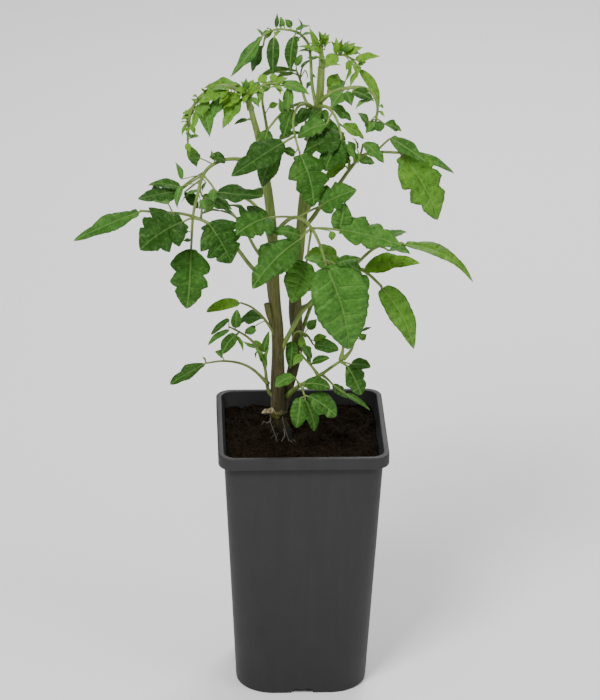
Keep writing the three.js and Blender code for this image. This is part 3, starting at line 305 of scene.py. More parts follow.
          [-70.5, -21, 402], [-72.5, -21, 391.5], [-73, -20, 381.5]], 1.4,
        [[1, [-73, -19, 376], [-67.5, -16, 362], 9, 1], [0.5, [-64, -23, 406], [-59.5, -27, 386], 9],
          [0.17, [-41, -19, 409], [-51.5, -26, 391], 11, 1],
          [0.41, [-52.5, -23, 410.5], [-58.5, -26, 396.5], 9.5, 1],
          [0.33, [-47.5, -22, 416.5], [-67, -27, 408.5], 13, 2],
          [0.12, [-40, -18, 411], [-56, -26, 401.5], 11.5, 2],
          [0.27, [-41.5, -12, 415], [-62.5, -4, 410.5], 11, 1]],
        [[0.97, [-73.5, -20, 379.5], [-71.5, -22, 374], 4],
          [0.25, [-46, -20, 406], [-47.5, -24, 392.5], 5], [0.5, [-60.5, -23, 409], [-66, -27, 398], 7],
          [0.2, [-45, -20, 412], [-55, -28, 413.5], 5], [0.27, [-47.5, -21, 414.5], [-58, -28, 417.5], 4.5],
          [0.5, [-62, -21, 410], [-68.5, -19, 407], 4], [0.58, [-66.5, -21, 406.5], [-71, -19, 408.5], 2.5],
          [0.6, [-67, -22, 405.5], [-63, -29, 399.5], 5], [0.3, [-49, -22, 414], [-53.5, -30, 409], 5],
          [0.62, [-68.5, -18, 403.5], [-73.5, -15, 391], 4],
          [0.68, [-68, -23, 401.5], [-70.5, -26, 390], 4], [0.8, [-73, -20, 393], [-76.5, -18, 383.5], 3],
          [0.8, [-71, -22, 393], [-68.5, -24, 386.5], 3]], form=SLENDER,
    ), Frond(
        [[-35.5, -12, 405], [-30.5, -16, 413.5], [-24.5, -18, 417.5], [-15, -20, 419]], 1.1,
        [[1, None, [3, -23, 412], 9, 1], [0.8, [-10, -21, 416], [-10.5, -20, 400], 7]],
        [[0.62, [-18.5, -19, 417.5], [-10.5, -18, 421.5], 6],
          [0.5, [-25, -14, 417], [-27.5, -8, 420.5], 6], [0.7, [-19, -16, 418], [-20.5, -10, 422], 4.5],
          [0.55, [-22, -22, 417], [-13.5, -28, 416], 6]], form=SLENDER,
    )],
    "leaf_left_inner": [Frond(
        [[-26, -10, 366.5], [-23, -1, 378.5], [-24.5, 0, 390.5], [-26, 1, 399.5], [-25.5, 2, 405.5]], 1.3,
        [[1, None, [-20, 4, 412.5], 6], [0.9, [-27.5, 6, 406], [-33.5, 12, 408], 6.5, 1]],
        [[0.65, [-21.5, 4, 394.5], [-15.5, 6, 396], 4]], form=SLENDER,
    )],
    "leaf_stem_left_small": [Frond(
        [[-32, -12, 393], [-35.5, -13, 392.5]], 0.8,
        [[1, None, [-44, -14, 389.5], 4]],
    )],
    "leaf_right_low": [Frond(
        [[-14.5, -7, 231], [-10, -9, 241.5], [-5.5, -10, 251], [0, -10, 261], [13, -11, 275],
          [25.5, -12, 286.5], [33.5, -13, 291.5], [40.5, -14, 288.5], [49.5, -16, 280.5]], 1.7,
        [[1, None, [71, -21, 238.5], 18], [0.82, [39, -17, 292.5], [73.5, -25, 299.5], 15, 1, 0.13],
          [0.8, [36.5, -19, 291.5], [23, -27, 301.5], 11], [0.82, [37, -18, 289], [38.5, -21, 275], 9.5]],
    )],
    "leaf_right_long": [Frond(
        [[-3.5, 8, 253], [12, 12, 260.5], [25, 14, 272], [36, 15, 283.5], [48.5, 15, 294.5],
          [64.5, 12, 298.5]], 1.5,
        [[1, None, [110, 2, 275], 17.5, 1, 0.15, 10], [0.82, [54, 19, 299], [68.5, 26, 300.5], 9],
          [0.82, [56, 9, 295], [69, 3, 294.5], 14],
          [0.5, [23, 18, 287.5], [1.5, 12, 288.5], 18, 1, BLADE_ARCH, -35]], face=UPWARD,
    )],
    "leaf_back_low": [Frond(
        [[-2.5, 5, 232], [8, 25, 252.5], [16, 48, 251], [22.5, 66, 244]], 1.5,
        [[1, None, [30, 100, 223.5], 20, 2], [0.6, [5.5, 50, 251], [-4, 68, 240], 15, 1],
          [0.6, [25, 44, 249], [37.5, 56, 242], 15, 1]], face=TOWARDS_BACK,
    )],
    "leaf_back_high": [Frond(
        [[2.5, 12, 346.5], [6.5, 35, 358], [10, 60, 355.5], [12.5, 84, 344.5]], 1.5,
        [[1, None, [16, 120, 321], 22, 2], [0.6, [2, 62, 355.5], [-12.5, 74, 346.5], 17, 1],
          [0.6, [17, 62, 355], [30, 74, 345.5], 17, 1]], face=TOWARDS_BACK,
    )],
    "leaf_back_left": [Frond(
        [[-20, -8, 306], [-28, 15, 321], [-38, 40, 320.5], [-46, 64, 311.5]], 1.5,
        [[1, None, [-59.5, 94, 288.5], 21.5, 2], [0.62, [-47, 43, 320.5], [-65.5, 54, 306.5], 16, 1],
          [0.62, [-34, 50, 319.5], [-24, 68, 310], 15, 1]], face=TOWARDS_BACK,
    )],
    "leaf_back_right": [Frond(
        [[0.5, 12, 318.5], [10, 30, 321.5], [22, 48, 312.5], [31.5, 60, 297]], 1.5,
        [[1, None, [46.5, 86, 264.5], 20, 2], [0.62, [21, 54, 312], [15.5, 72, 298], 15, 1],
          [0.62, [31, 44, 303.5], [48.5, 50, 288], 13, 1]], face=TOWARDS_BACK,
    )],
    "leaf_back_centre": [Frond(
        [[-3.5, 10, 268], [-11, 28, 276.5], [-14, 50, 274], [-15, 70, 262]], 1.4,
        [[1, None, [-15, 100, 237], 18, 2], [0.62, [-18, 52, 274], [-24, 62, 262.5], 13, 1],
          [0.62, [-10, 56, 273.5], [0.5, 72, 262.5], 13, 1]], face=TOWARDS_BACK,
    )],
    "shoot_left": [Frond(
        [[-15.5, -6, 198], [-21, -7, 202], [-23, -8, 210.5], [-24, -9, 220], [-27, -10, 230.5],
          [-28.5, -10, 236.5]], 1.4,
        [[0.95, [-25, -8, 231.5], [-21.5, -5, 245], 5]],
        [[0.75, [-29.5, -8, 235], [-38.5, -6, 238.5], 3], [0.5, [-23.5, -10, 221], [-21, -9, 236], 4.5],
          [0.7, [-26, -11, 226], [-31.5, -12, 237.5], 4], [0.9, [-29, -12, 234.5], [-30, -13, 229], 3],
          [0.85, [-26, -12, 232], [-22.5, -14, 225.5], 4.5]],
    ), Frond(
        [[-22, -8, 209], [-32.5, -12, 221.5], [-40.5, -14, 226.5], [-51.5, -16, 229],
          [-62.5, -18, 228.5]], 1.1,
        [[1, None, [-85.5, -24, 216.5], 12, 1, 0]],
        [[0.97, [-62.5, -17, 229], [-65, -17, 232.5], 3], [0.75, [-51.5, -16, 232], [-57, -17, 236], 6]],
        form=OVAL,
    ), Frond(
        [[-28, -10, 235], [-34.5, -12, 243], [-41, -14, 248.5], [-47.5, -15, 252.5]], 1,
        [[1, [-47.5, -16, 250.5], [-61, -19, 241.5], 5], [1, [-47.5, -14, 257.5], [-59, -14, 246.5], 4.5],
          [0.85, [-43, -18, 253], [-42.5, -23, 268], 7], [0.7, [-43, -18, 248.5], [-52, -23, 237], 9]],
        [[0.3, [-31.5, -10, 240], [-26, -8, 231.5], 5], [0.5, [-37, -12, 247.5], [-29.5, -8, 247], 5],
          [0.7, [-42.5, -13, 245], [-38.5, -13, 234], 3]], form=OVAL,
    )],
    "leaf_left_low": [Frond(
        [[-16.5, -7, 240], [-21.5, -11, 251], [-27.5, -15, 261], [-34, -16, 267], [-40, -16, 269.5]], 1.1,
        [[1, None, [-62, -19, 264.5], 9], [0.5, [-26, -8, 255.5], [-40, 1, 250], 13, 1]],
        [[0.45, [-30.5, -5, 248.5], [-35.5, -5, 243], 4]], form=OVAL,
    )],
    "shoot_right": [Frond(
        [[-11, -2, 197], [-1.5, -8, 207.5], [10.5, -12, 216], [18.5, -14, 223], [26, -14, 228.5]], 1.6,
        [[0.95, [31, -17, 226.5], [43.5, -21, 226], 9.5],
          [0.95, [28.5, -19, 226], [37.5, -23, 207.5], 15.5, 1]], form=OVAL,
    ), Frond(
        [[24.5, -14, 228], [26, -12, 235.5], [26, -10, 240.5]], 1.2,
        [[1, None, [13.5, -8, 253.5], 11.5]],
    ), Frond(
        [[26, -14, 228.5], [31, -12, 233.5], [34.5, -8, 241], [38.5, -6, 245]], 1.1,
        [[1, None, [44.5, -4, 246.5], 2.5], [0.8, [36, -4, 246], [39, 0, 258.5], 7.5, 1]],
        [[0.7, [37, -8, 240], [41.5, -7, 243], 4.5]],
    ), Frond(
        [[10.5, -12, 216], [6, -14, 223.5], [1, -14, 229.5], [-2, -14, 234.5]], 1,
        [[0.45, [5, -16, 229], [-1.5, -20, 241], 8.5], [0.4, [6, -16, 227.5], [17, -21, 232.5], 7]],
        [[0.9, [0, -16, 232.5], [-6.5, -20, 227], 6]], form=OVAL,
    ), Frond(
        [[-1.5, -8, 207.5], [-3, -16, 213.5], [-0.5, -23, 212], [1, -27, 208]], 1,
        [[0.45, [-6, -21, 220], [-18, -26, 215], 10.5], [1, [-2, -28, 208], [-4.5, -31, 188], 11.5],
          [1, [1.5, -29, 206], [7, -33, 186.5], 9.5], [0.95, [3.5, -28, 209], [21, -34, 197.5], 18.5, 1],
          [0.8, [1, -25, 216.5], [17.5, -28, 214.5], 11.5]], form=OVAL,
    ), Frond(
        [[12, -12, 217.5], [16.5, -8, 212], [21.5, -8, 206.5], [28, -8, 201.5]], 0.9,
        [[1, None, [44, -11, 191], 5], [0.6, [20, -4, 205], [29.5, -3, 196], 8.5]],
    )],
    "leaf_low_behind": [Frond(
        [[-2.5, 5, 237], [2.5, 4, 238.5], [7.5, 3, 231.5]], 1,
        [[1, None, [24, 1, 228.5], 10.5]],
        [[0.7, [8, 5, 233.5], [16.5, 8, 235.5], 6], [0.3, [4, 6, 241.5], [10, 8, 247.5], 6]], form=OVAL,
    ), Frond(
        [[2.5, 4, 237.5], [-2.5, -1, 243], [-5.5, -2.5, 241.5], [-6.5, -3, 237.5]], 0.9,
        [[1, None, [-8, -4, 217.5], 8.5, 1]],
        [[0.5, [-0.5, -2, 240], [3, -6, 230.5], 6]],
    )],
}

# How brown a leaf's stalks are where they differ from the usual, and how old its blades are, from 0 up, with
# painted light and shade folded into the ages
USUAL_BROWN = 0.1
STALK_BROWN = {
    "leaf_front": 0.35, "leaf_left_hanging": 0.25, "leaf_left_long": 0.35, "leaf_right_low": 0.15,
    "leaf_right_upper": 0.4, "leaf_right_long": 0.3, "shoot_left": 0.6, "leaf_left_low": 0.5,
    "leaf_left_back": 0.3,
}
BACK_LEAF_AGE = 0.85
BLADE_AGE_AND_LIGHT = {
    "leaf_front": 0.72, "leaf_left_hanging": 1.3, "leaf_left_long": 0.77, "leaf_left_back": 0.8,
    "leaf_centre_upper": 0.95, "leaf_front_right": 0.8, "leaf_right_upper": 0.5, "leaf_right_arch": 0.6,
    "shoot_right_top": 0.1, "leaf_top_left": 1.35, "leaf_top_back": 0.6, "shoot_left_top": 0.25,
    "leaf_left_inner": 0.7, "leaf_stem_left_small": 0.8, "leaf_right_low": 0.7, "leaf_right_long": 0.6,
    "shoot_left": 0.95, "leaf_left_low": 0.92, "shoot_right": 0.88, "leaf_low_behind": 0.8,
}
# The blades that differ from the rest of their leaf: (frond, blade): age, with painted light and shade folded
# in
OWN_AGE_AND_LIGHT = {
    "leaf_front": {(0, 0): 0.36, (0, 1): 0.68, (0, 4): 0.5, (0, 5): 0.7, (0, 8): 0.6, (0, 9): 0.4},
    "leaf_centre_upper": {(0, 0): 0.7, (0, 1): 1.25, (1, 2): 0.45},
    "leaf_front_right": {(0, 0): 1.05, (0, 1): 0.6, (0, 2): 0.35, (0, 4): 0.35, (0, 6): 0.9},
    "leaf_left_hanging": {(0, 0): 0.9, (0, 6): 0.75},
    "leaf_left_long": {(0, 0): 0.55, (0, 1): 0.5},
    "leaf_right_low": {(0, 0): 0.3, (0, 1): 0.05},
    "leaf_right_upper": {(0, 0): 0.22, (0, 1): 0.7, (0, 5): 0.2, (0, 7): 0.3},
    "leaf_right_arch": {(0, 2): 0.9, (0, 3): 0.95},
    "leaf_top_left": {(0, 0): 0.8, (0, 2): 0.85},
    "leaf_right_long": {(0, 0): 0.2, (0, 3): 0.15},
    "leaf_back_left": {(0, 0): 0.65, (0, 1): 0.6},
    "leaf_left_low": {(0, 0): 0.22, (0, 1): 0.8},
    "shoot_left": {(1, 0): 1.25, (2, 0): 0.6, (2, 1): 0.6, (2, 2): 0.7, (2, 3): 0.8},
}
SPRIG_AGE = 0.5  # of the smallest leaflets, as a share of their leaf's
# Crowded leaflets at the shoot tips: their age
TUFTS = {"shoot_left_top": 0.15, "shoot_right_top": 0.1, "leaf_top_left": 0.4}
TUFT_PITCH = 5  # stalk length for each of them
TUFT_FROM = 0.15  # where they start along the stalk
TUFT_SIDES = [-1.2, 0.5]  # how strongly they turn to the viewer or to the back
TUFT_STALK, TUFT_LENGTH, TUFT_WIDTH = (1, 3), (4, 9), (2.4, 4.6)
LEAF_SEED, TUFT_SEED, SOIL_SEED, STEM_SEED = 1000, 3000, 5, 6
UPPER, UNDER, STALK, HAIR = range(4)  # places in a leaf's list of materials

# Blade form
LOBES_FROM = 0.03
LOBES_TO = 0.6
LOBE_DEPTH = 0.5
DEPTH_SPREAD = (0.85, 1.15)
LOBE_SKEW = 1.25
LOBE_ROUND = 0.6
LOBE_PEAK = 0.62  # where a pointed lobe has its point
LOBE_POINT = 0.45  # between round 0 and pointed 1
LOBE_SHIFT = 0.17  # the most that one side's lobes lie ahead of their places, as a share of a lobe
LOBE_LEAN = 0.4
TOOTH_PITCH = 0.115
TOOTH_DEPTH = 0.045
BASE_SWEEP = 0.22
SIDE_BEND = 0.03  # how far a blade bows to a side at most, as a share of its length
NECK = 0.06  # half width where a blade starts, as a share of its width
EDGE_COLUMN = 0.955  # the last column of points before the edge
WAVE_TURNS, WAVE_HEIGHT = (1.3, 2.4), (0.03, 0.07)  # of the blade's edge
GROOVE_DEPTH, GROOVE_WIDTH = 0.018, 0.045  # along the midrib, as shares of the blade's width
BLADE_FOLD = 0.14
BLADE_THICKNESS = 0.34
EDGE_THICKNESS = 0.14
SMALL_THICKNESS = 0.6  # a small blade's, as a share of the others'
PLAIN_PITCH = 0.17  # vein spacing on a blade with no lobes, as a share of its length
WIDEST_PITCH = 0.3  # a wider spacing gets one more vein in its middle
LOBED_BLADE = 9  # no blade up to this width has lobes
SMALL_BLADE = 13
LARGE_BLADE = 20
SMALL_GRID, MIDDLE_GRID, LARGE_GRID = (24, 5), (64, 9), (96, 12)  # a blade's rows, and columns on a side
VEIN_BEND = 0.5
VEIN_OFFSET = 0.35  # of the veins on one side against the other's, as a share of a spacing
VEIN_DRIFT = 0.13  # how far side veins lie off an even spacing, as a share of it
PUCKER = 0.048  # height of the swellings between side veins, as a share of the width
QUILT = 0.02  # and of the smaller ones between the veins' branches
SPRIG_ARCH = 0.14
SPRIG_WIDENED = 1.1
SPRIG_STALK = 0.36
SPRIG_TURN = 0.35  # how unevenly the smallest leaflets face the viewer
ROLL_SPREAD = 9  # how far a blade is turned from its listed roll at most, in degrees
FOLD_SPREAD = 0.08
AGE_SPREAD = 0.1
SMALL_AGE_SPREAD = 0.22
NO_STALK = 1  # a blade that starts nearer to its leaf's stalk has none of its own
MIDRIB = [(0, 0.95), (0.08, 0.8), (0.25, 0.62), (0.5, 0.42), (0.8, 0.2)]  # share along, thickness
STALK_END = 0.55  # a stalk's radius at its far end, as a share of the girth
STALK_FOOT, FOOT_LENGTH = 0.45, 4.5  # how much it swells at its foot, and over what length
STALK_STEP, STALK_SIDES = 2.5, 12
SIDE_STALK = 0.5  # the most that a blade's own stalk has of the girth
THINNEST_STALK = 0.34
LEAF_HAIRS = 0.7  # for each millimetre of length and of girth
LEAF_HAIR_LENGTH = 1.7
HAIR_RADIUS = 0.035
HAIR_TILT = 0.21
HAIR_SPREAD = (0.45, 1.0)
THICK_STEM = 2.4  # the radius from which hairs are longest


# Curves and tubes, all in millimetres
def unit(v):
    return v / (np.linalg.norm(v, axis=-1, keepdims=True) + 1e-12)


def spline(points, per_span=16):
    """A dense centripetal Catmull-Rom curve through the points; columns past the third are carried along."""
    p = np.array(points, float)
    p = np.vstack([2 * p[0] - p[1], p, 2 * p[-1] - p[-2]])
    out = []
    for i in range(1, len(p) - 2):
        gaps = [np.linalg.norm(p[i + k][:3] - p[i + k - 1][:3]) ** 0.5 for k in range(3)]
        a, b, c = (max(g, 1e-3) for g in gaps)
        p0, p1, p2, p3 = p[i - 1:i + 3]
        m1 = ((p1 - p0) / a - (p2 - p0) / (a + b) + (p2 - p1) / b) * b
        m2 = ((p2 - p1) / b - (p3 - p1) / (b + c) + (p3 - p2) / c) * b
        s = np.linspace(0, 1, per_span, endpoint=False)[:, None]
        out.append((2 * s**3 - 3 * s**2 + 1) * p1 + (s**3 - 2 * s**2 + s) * m1
                   + (3 * s**2 - 2 * s**3) * p2 + (s**3 - s**2) * m2)
    out.append(p[-2][None])
    return np.vstack(out)


def lengths(curve):
    steps = np.linalg.norm(np.diff(curve[:, :3], axis=0), axis=1)
    return np.concatenate([[0], np.cumsum(steps)])


def at_share(curve, shares):
    """Points of a dense curve at shares of its length."""
    run = lengths(curve)
    places = np.asarray(shares) * run[-1]
    return np.stack([np.interp(places, run, column) for column in curve.T], -1)


def evenly(points, count, per_span=16):
    return at_share(spline(points, per_span), np.linspace(0, 1, count))


def transport(curve):
    """Two directions across a curve at each of its points, carried along without twisting."""
    along = unit(np.gradient(curve, axis=0))
    start = np.cross(along[0], [0, 0, 1.0])
    if np.linalg.norm(start) < 0.2:
        start = np.cross(along[0], [0, 1.0, 0])
    first = [unit(start)]
    for direction in along[1:]:
        first.append(unit(first[-1] - direction * (first[-1] @ direction)))
    first = np.array(first)
    return first, np.cross(along, first), along


def put(name, data):
    """A new object in the scene."""
    made = bpy.data.objects.new(name, data)
    bpy.context.scene.collection.objects.link(made)
    return made


class Piece:
    """Gathers closed bodies in millimetres into one mesh, with materials and the values that they read."""

    VALUES = ("across", "edge", "vein", "spacing", "age", "brown")

    def __init__(self):
        self.verts, self.faces, self.marks = [], [], []
        self.values = {name: [] for name in self.VALUES}
        self.count = 0
        self.flat_from = None

    def add(self, verts, faces, mark=0, **values):
        """Adds a body. Its mark is the material's place in the list, or a list with one for each face."""
        self.verts.append(verts)
        self.faces += [[corner + self.count for corner in face] for face in faces]
        self.marks += [mark] * len(faces) if np.isscalar(mark) else mark
        for name, parts in self.values.items():
            parts.append(np.broadcast_to(values.get(name, 0), len(verts)))
        self.count += len(verts)

    def finish(self, name, materials):
        mesh = bpy.data.meshes.new(name)
        mesh.from_pydata((np.vstack(self.verts) * MM).tolist(), [], self.faces)
        for material in materials:
            mesh.materials.append(material)
        mesh.polygons.foreach_set("material_index", np.array(self.marks, np.int32))
        smooth = np.arange(len(self.faces)) < (self.flat_from or len(self.faces))
        mesh.polygons.foreach_set("use_smooth", smooth)
        for key, parts in self.values.items():
            layer = mesh.attributes.new(key, "FLOAT", "POINT")
            layer.data.foreach_set("value", np.concatenate(parts).astype(np.float32))
        mesh.update()
        return put(name, mesh)


def ring_faces(rings, sides, closed_ends=True):
    """Quads between rings of points, and a face over each end if they are closed."""
    r, s = np.meshgrid(np.arange(rings - 1), np.arange(sides), indexing="ij")
    n = (s + 1) % sides
    corners = [r * sides + s, r * sides + n, (r + 1) * sides + n, (r + 1) * sides + s]
    faces = np.stack(corners, -1).reshape(-1, 4).tolist()
    if closed_ends:
        faces.append(list(range(sides))[::-1])
        faces.append([(rings - 1) * sides + k for k in range(sides)])
    return faces


def add_tube(piece, line, radius, sides, mark, ribs=0.0, rib_count=0, **values):
    """A closed round or ribbed tube along a line, with one radius for each of its points."""
    first, second, _ = transport(line)
    angle = np.linspace(0, 2 * np.pi, sides, endpoint=False)
    section = 1 + ribs * np.cos(angle * rib_count)
    reach = np.asarray(radius, float)[:, None, None] * section[None, :, None]
    ring = line[:, None] + reach * (np.cos(angle)[None, :, None] * first[:, None]
                                    + np.sin(angle)[None, :, None] * second[:, None])
    piece.add(ring.reshape(-1, 3), ring_faces(len(line), sides), mark, **values)


# Blades
def envelope(t, form):
    fullness, blunt = form
    return np.sin(np.pi * np.clip(t, 0, 1) ** fullness) ** blunt


def lobe_at(s):
    """How far a lobe stands out between its notches at 0 and 1."""
    rounded = np.abs(np.sin(np.pi * s ** LOBE_SKEW)) ** LOBE_ROUND
    pointed = np.where(s < LOBE_PEAK, s / LOBE_PEAK, (1 - s) / (1 - LOBE_PEAK))
    return rounded * (1 - LOBE_POINT) + pointed * LOBE_POINT


def margin(t, form, lobes, depth, shift):
    """Half width along the blade, as a share of the widest: an oval cut by narrow notches between lobes."""
    teeth = 1 - TOOTH_DEPTH * (1 - lobe_at((t / TOOTH_PITCH + 3 * shift) % 1))
    if lobes == 0:
        return envelope(t, form) * teeth
    pitch = (LOBES_TO - LOBES_FROM) / lobes
    k = (t - LOBES_FROM - shift * pitch) / pitch
    inside = np.clip(k, 0, lobes)
    deep = depth * (1 - 0.5 * inside / lobes)
    hollow = deep * (1 - lobe_at(inside % 1))
    fade = np.where(k < 0, np.clip(1 + k / 0.3, 0, 1), np.clip(1 - (k - lobes) / 0.35, 0, 1))
    return envelope(t, form) * (1 - hollow * fade) * teeth


def lean(t):
    """How far the margin lies ahead of its point on the midrib: behind it at the base, ahead further on."""
    return LOBE_LEAN * (1 - t) * np.clip(t / 0.25, 0, 1) - BASE_SWEEP * (1 - t) ** 6


def shell_faces(n, m):
    """A shell's faces on two grids of n by m points: upper, lower and round the edge, and their marks."""
    i, j = np.meshgrid(np.arange(n - 1), np.arange(m - 1), indexing="ij")
    a = (i * m + j).ravel()
    top = np.stack([a, a + 1, a + m + 1, a + m], -1)
    low = n * m + top[:, ::-1]
    edge = np.concatenate([np.arange(n) * m, (n - 1) * m + np.arange(1, m),
                           np.arange(n - 1)[::-1] * m + m - 1, np.arange(1, m - 1)[::-1]])
    following = np.roll(edge, -1)
    rim = np.stack([edge, following, following + n * m, edge + n * m], -1)
    marks = [UPPER] * len(top) + [UNDER] * (len(low) + len(rim))
    return np.concatenate([top, low, rim]).tolist(), marks


def add_blade(piece, root, base, tip, width, lobes, arch, roll, face, form, age, brown, stalk_radius, rng):
    """One blade: a thin closed shell with rows along its side veins, and a stalk that becomes its midrib."""
    length = np.linalg.norm(tip - base)
    axis = (tip - base) / length
    up = unit(np.array(face, float) - axis * (np.array(face, float) @ axis))
    turn = math.radians(roll + rng.uniform(-ROLL_SPREAD, ROLL_SPREAD))
    up = up * math.cos(turn) + np.cross(axis, up) * math.sin(turn)
    side = np.cross(axis, up)
    big = width >= SMALL_BLADE
    rows, columns = LARGE_GRID if width >= LARGE_BLADE else MIDDLE_GRID if big else SMALL_GRID
    lobes = lobes if width > LOBED_BLADE else 0
    pitch = (LOBES_TO - LOBES_FROM) / lobes if lobes else PLAIN_PITCH
    pitch = pitch / 2 if pitch > WIDEST_PITCH else pitch
    # Grid places along and across the blade, close together at its edges
    t = np.linspace(0, 1, rows + 1)
    c = np.concatenate([np.linspace(0, 1, columns - 1)[:-1] ** 0.9, [EDGE_COLUMN, 1]])
    T, C = np.meshgrid(t, np.concatenate([-c[:0:-1], c]), indexing="ij")
    out, left = np.abs(C), C < 0
    depth = LOBE_DEPTH * rng.uniform(*DEPTH_SPREAD)
    shifts = rng.uniform(-LOBE_SHIFT, LOBE_SHIFT, 2)
    neck = min(0.5, NECK * width) * (1 - t) + 0.05
    halves = [np.maximum(margin(t, form, lobes, depth, shift) * width / 2, neck) for shift in shifts]
    half = np.where(left, halves[0][:, None], halves[1][:, None])
    reach = out * half
    # Side veins: their places, and the swellings between them
    phase = (T - LOBES_FROM) / pitch + np.where(left, 0.0, VEIN_OFFSET) - shifts[0]
    uneven = 11 * np.where(left, shifts[0], shifts[1])
    phase = phase + VEIN_DRIFT * (np.sin(9 * T + uneven) + np.sin(23 * T - uneven))
    swell = np.sin(np.pi * (phase % 1.0)) ** 0.8 * np.sin(np.pi * np.clip(out, 0, 1) ** 0.8)
    quilt = np.abs(np.sin(3 * np.pi * phase) * np.sin(2.5 * np.pi * out)) ** 0.7
    turns = T * rng.uniform(*WAVE_TURNS) + rng.uniform()
    wave = rng.uniform(*WAVE_HEIGHT) * width * out ** 3 * np.sin(2 * np.pi * turns)
    fold = BLADE_FOLD + rng.uniform(-FOLD_SPREAD, FOLD_SPREAD)
    body = envelope(T, form)
    groove = GROOVE_DEPTH * width * np.exp(-((reach / (GROOVE_WIDTH * width + 0.25)) ** 2)) * (1 - T)
    rise = (arch * length * 4 * T * (1 - T) + fold * reach * (1.25 - 0.5 * out)
            + (PUCKER * swell + QUILT * quilt) * width * body + wave * body - groove)
    forward = T * length + lean(T) * reach * (1 - VEIN_BEND * (1 - out))
    sideways = C * half + rng.uniform(-SIDE_BEND, SIDE_BEND) * length * 4 * T * (1 - T)
    point = base + forward[..., None] * axis + sideways[..., None] * side + rise[..., None] * up
    down = unit(np.cross(np.gradient(point, axis=0), np.gradient(point, axis=1)))
    down = np.where((down @ up)[..., None] > 0, -down, down)
    thick = EDGE_THICKNESS + (BLADE_THICKNESS - EDGE_THICKNESS) * (1 - out ** 6)
    under = point + down * (thick * (1 if big else SMALL_THICKNESS))[..., None]
    spread = AGE_SPREAD if big else SMALL_AGE_SPREAD
    measures = {"across": C * half, "edge": out, "vein": phase}
    piece.add(np.concatenate([point.reshape(-1, 3), under.reshape(-1, 3)]), *shell_faces(*T.shape),
              spacing=pitch * length, age=age + rng.uniform(-spread, spread),
              **{name: np.tile(grid.ravel(), 2) for name, grid in measures.items()})
    add_midrib(piece, root, base, under[:, len(c) - 1], stalk_radius, brown)


def add_midrib(piece, root, base, rib, radius, brown):
    """The blade's stalk, and the midrib that it becomes below the blade."""
    nodes = [(*rib[int(share * (len(rib) - 1))], radius * size) for share, size in MIDRIB]
    away = np.linalg.norm(root - base)
    if away < NO_STALK:
        nodes[0] = (*root, radius)
    else:
        bend = (root + base) / 2 + [0, 0, 0.02 * away]
        nodes = [(*root, radius * 1.15), (*bend, radius)] + nodes
    line = evenly(nodes, 16, 6)
    add_tube(piece, line[:, :3], line[:, 3], 7, STALK, brown=brown, age=0.5)


def add_frond(piece, frond, age, own_age_and_light, brown, rng):
    """One frond: its stalk with a swollen foot, its blades and its hairs."""
    stalk = spline(frond.stalk)
    total = lengths(stalk)[-1]
    share = np.linspace(0, 1, max(8, int(total / STALK_STEP)))
    line = at_share(stalk, share)
    foot = STALK_FOOT * np.exp(-((share * total / FOOT_LENGTH) ** 2))
    radius = frond.girth * (1 + (STALK_END - 1) * share + foot)
    add_tube(piece, line, radius, STALK_SIDES, STALK, ribs=0.05, rib_count=3, brown=brown, age=0.5)
    add_hairs(piece, line, radius, int(total * frond.girth * LEAF_HAIRS), HAIR, LEAF_HAIR_LENGTH, rng)
    for k, (share, base, tip, width, *rest) in enumerate(frond.blades):
        lobes, arch, roll = (*rest, *BLADE_USUAL[len(rest):])
        root, tip = at_share(stalk, [share])[0], np.array(tip, float)
        base = np.array(base, float) if base else root * 0.96 + tip * 0.04
        thin = max(THINNEST_STALK, min(frond.girth * SIDE_STALK, width * 0.06))
        add_blade(piece, root, base, tip, width, lobes, arch, roll, frond.face, frond.form,
                  own_age_and_light.get(k, age), brown, thin, rng)


def add_hairs(piece, line, radius, count, mark, longest, rng):
    """Short pale hairs standing off a stem: closed three-sided spikes rooted in it."""
    first, second, along = transport(line)
    where = rng.uniform(0, len(line) - 1.001, count)
    k = where.astype(int)
    part = (where - k)[:, None]
    centre = line[k] * (1 - part) + line[k + 1] * part
    angle = rng.uniform(0, 2 * np.pi, count)[:, None]
    out = first[k] * np.cos(angle) + second[k] * np.sin(angle)
    size = radius[k][:, None]
    way = unit(out + HAIR_TILT * rng.normal(size=(count, 3)))
    foot = centre + out * size * 0.9
    reach = rng.uniform(*HAIR_SPREAD, (count, 1)) * longest * np.clip(size / THICK_STEM, *HAIR_SPREAD)
    across = unit(np.cross(way, along[k]))
    other = np.cross(way, across) * HAIR_RADIUS * 0.87
    across = across * HAIR_RADIUS
    tip = foot + way * (reach + size * 0.1)
    verts = np.stack([foot + across, foot - across * 0.5 + other, foot - across * 0.5 - other, tip], 1)
    corners = np.arange(count)[:, None] * 4
    faces = [corners + side for side in ([0, 1, 3], [1, 2, 3], [2, 0, 3], [0, 2, 1])]
    piece.add(verts.reshape(-1, 3), np.concatenate(faces).tolist(), mark)


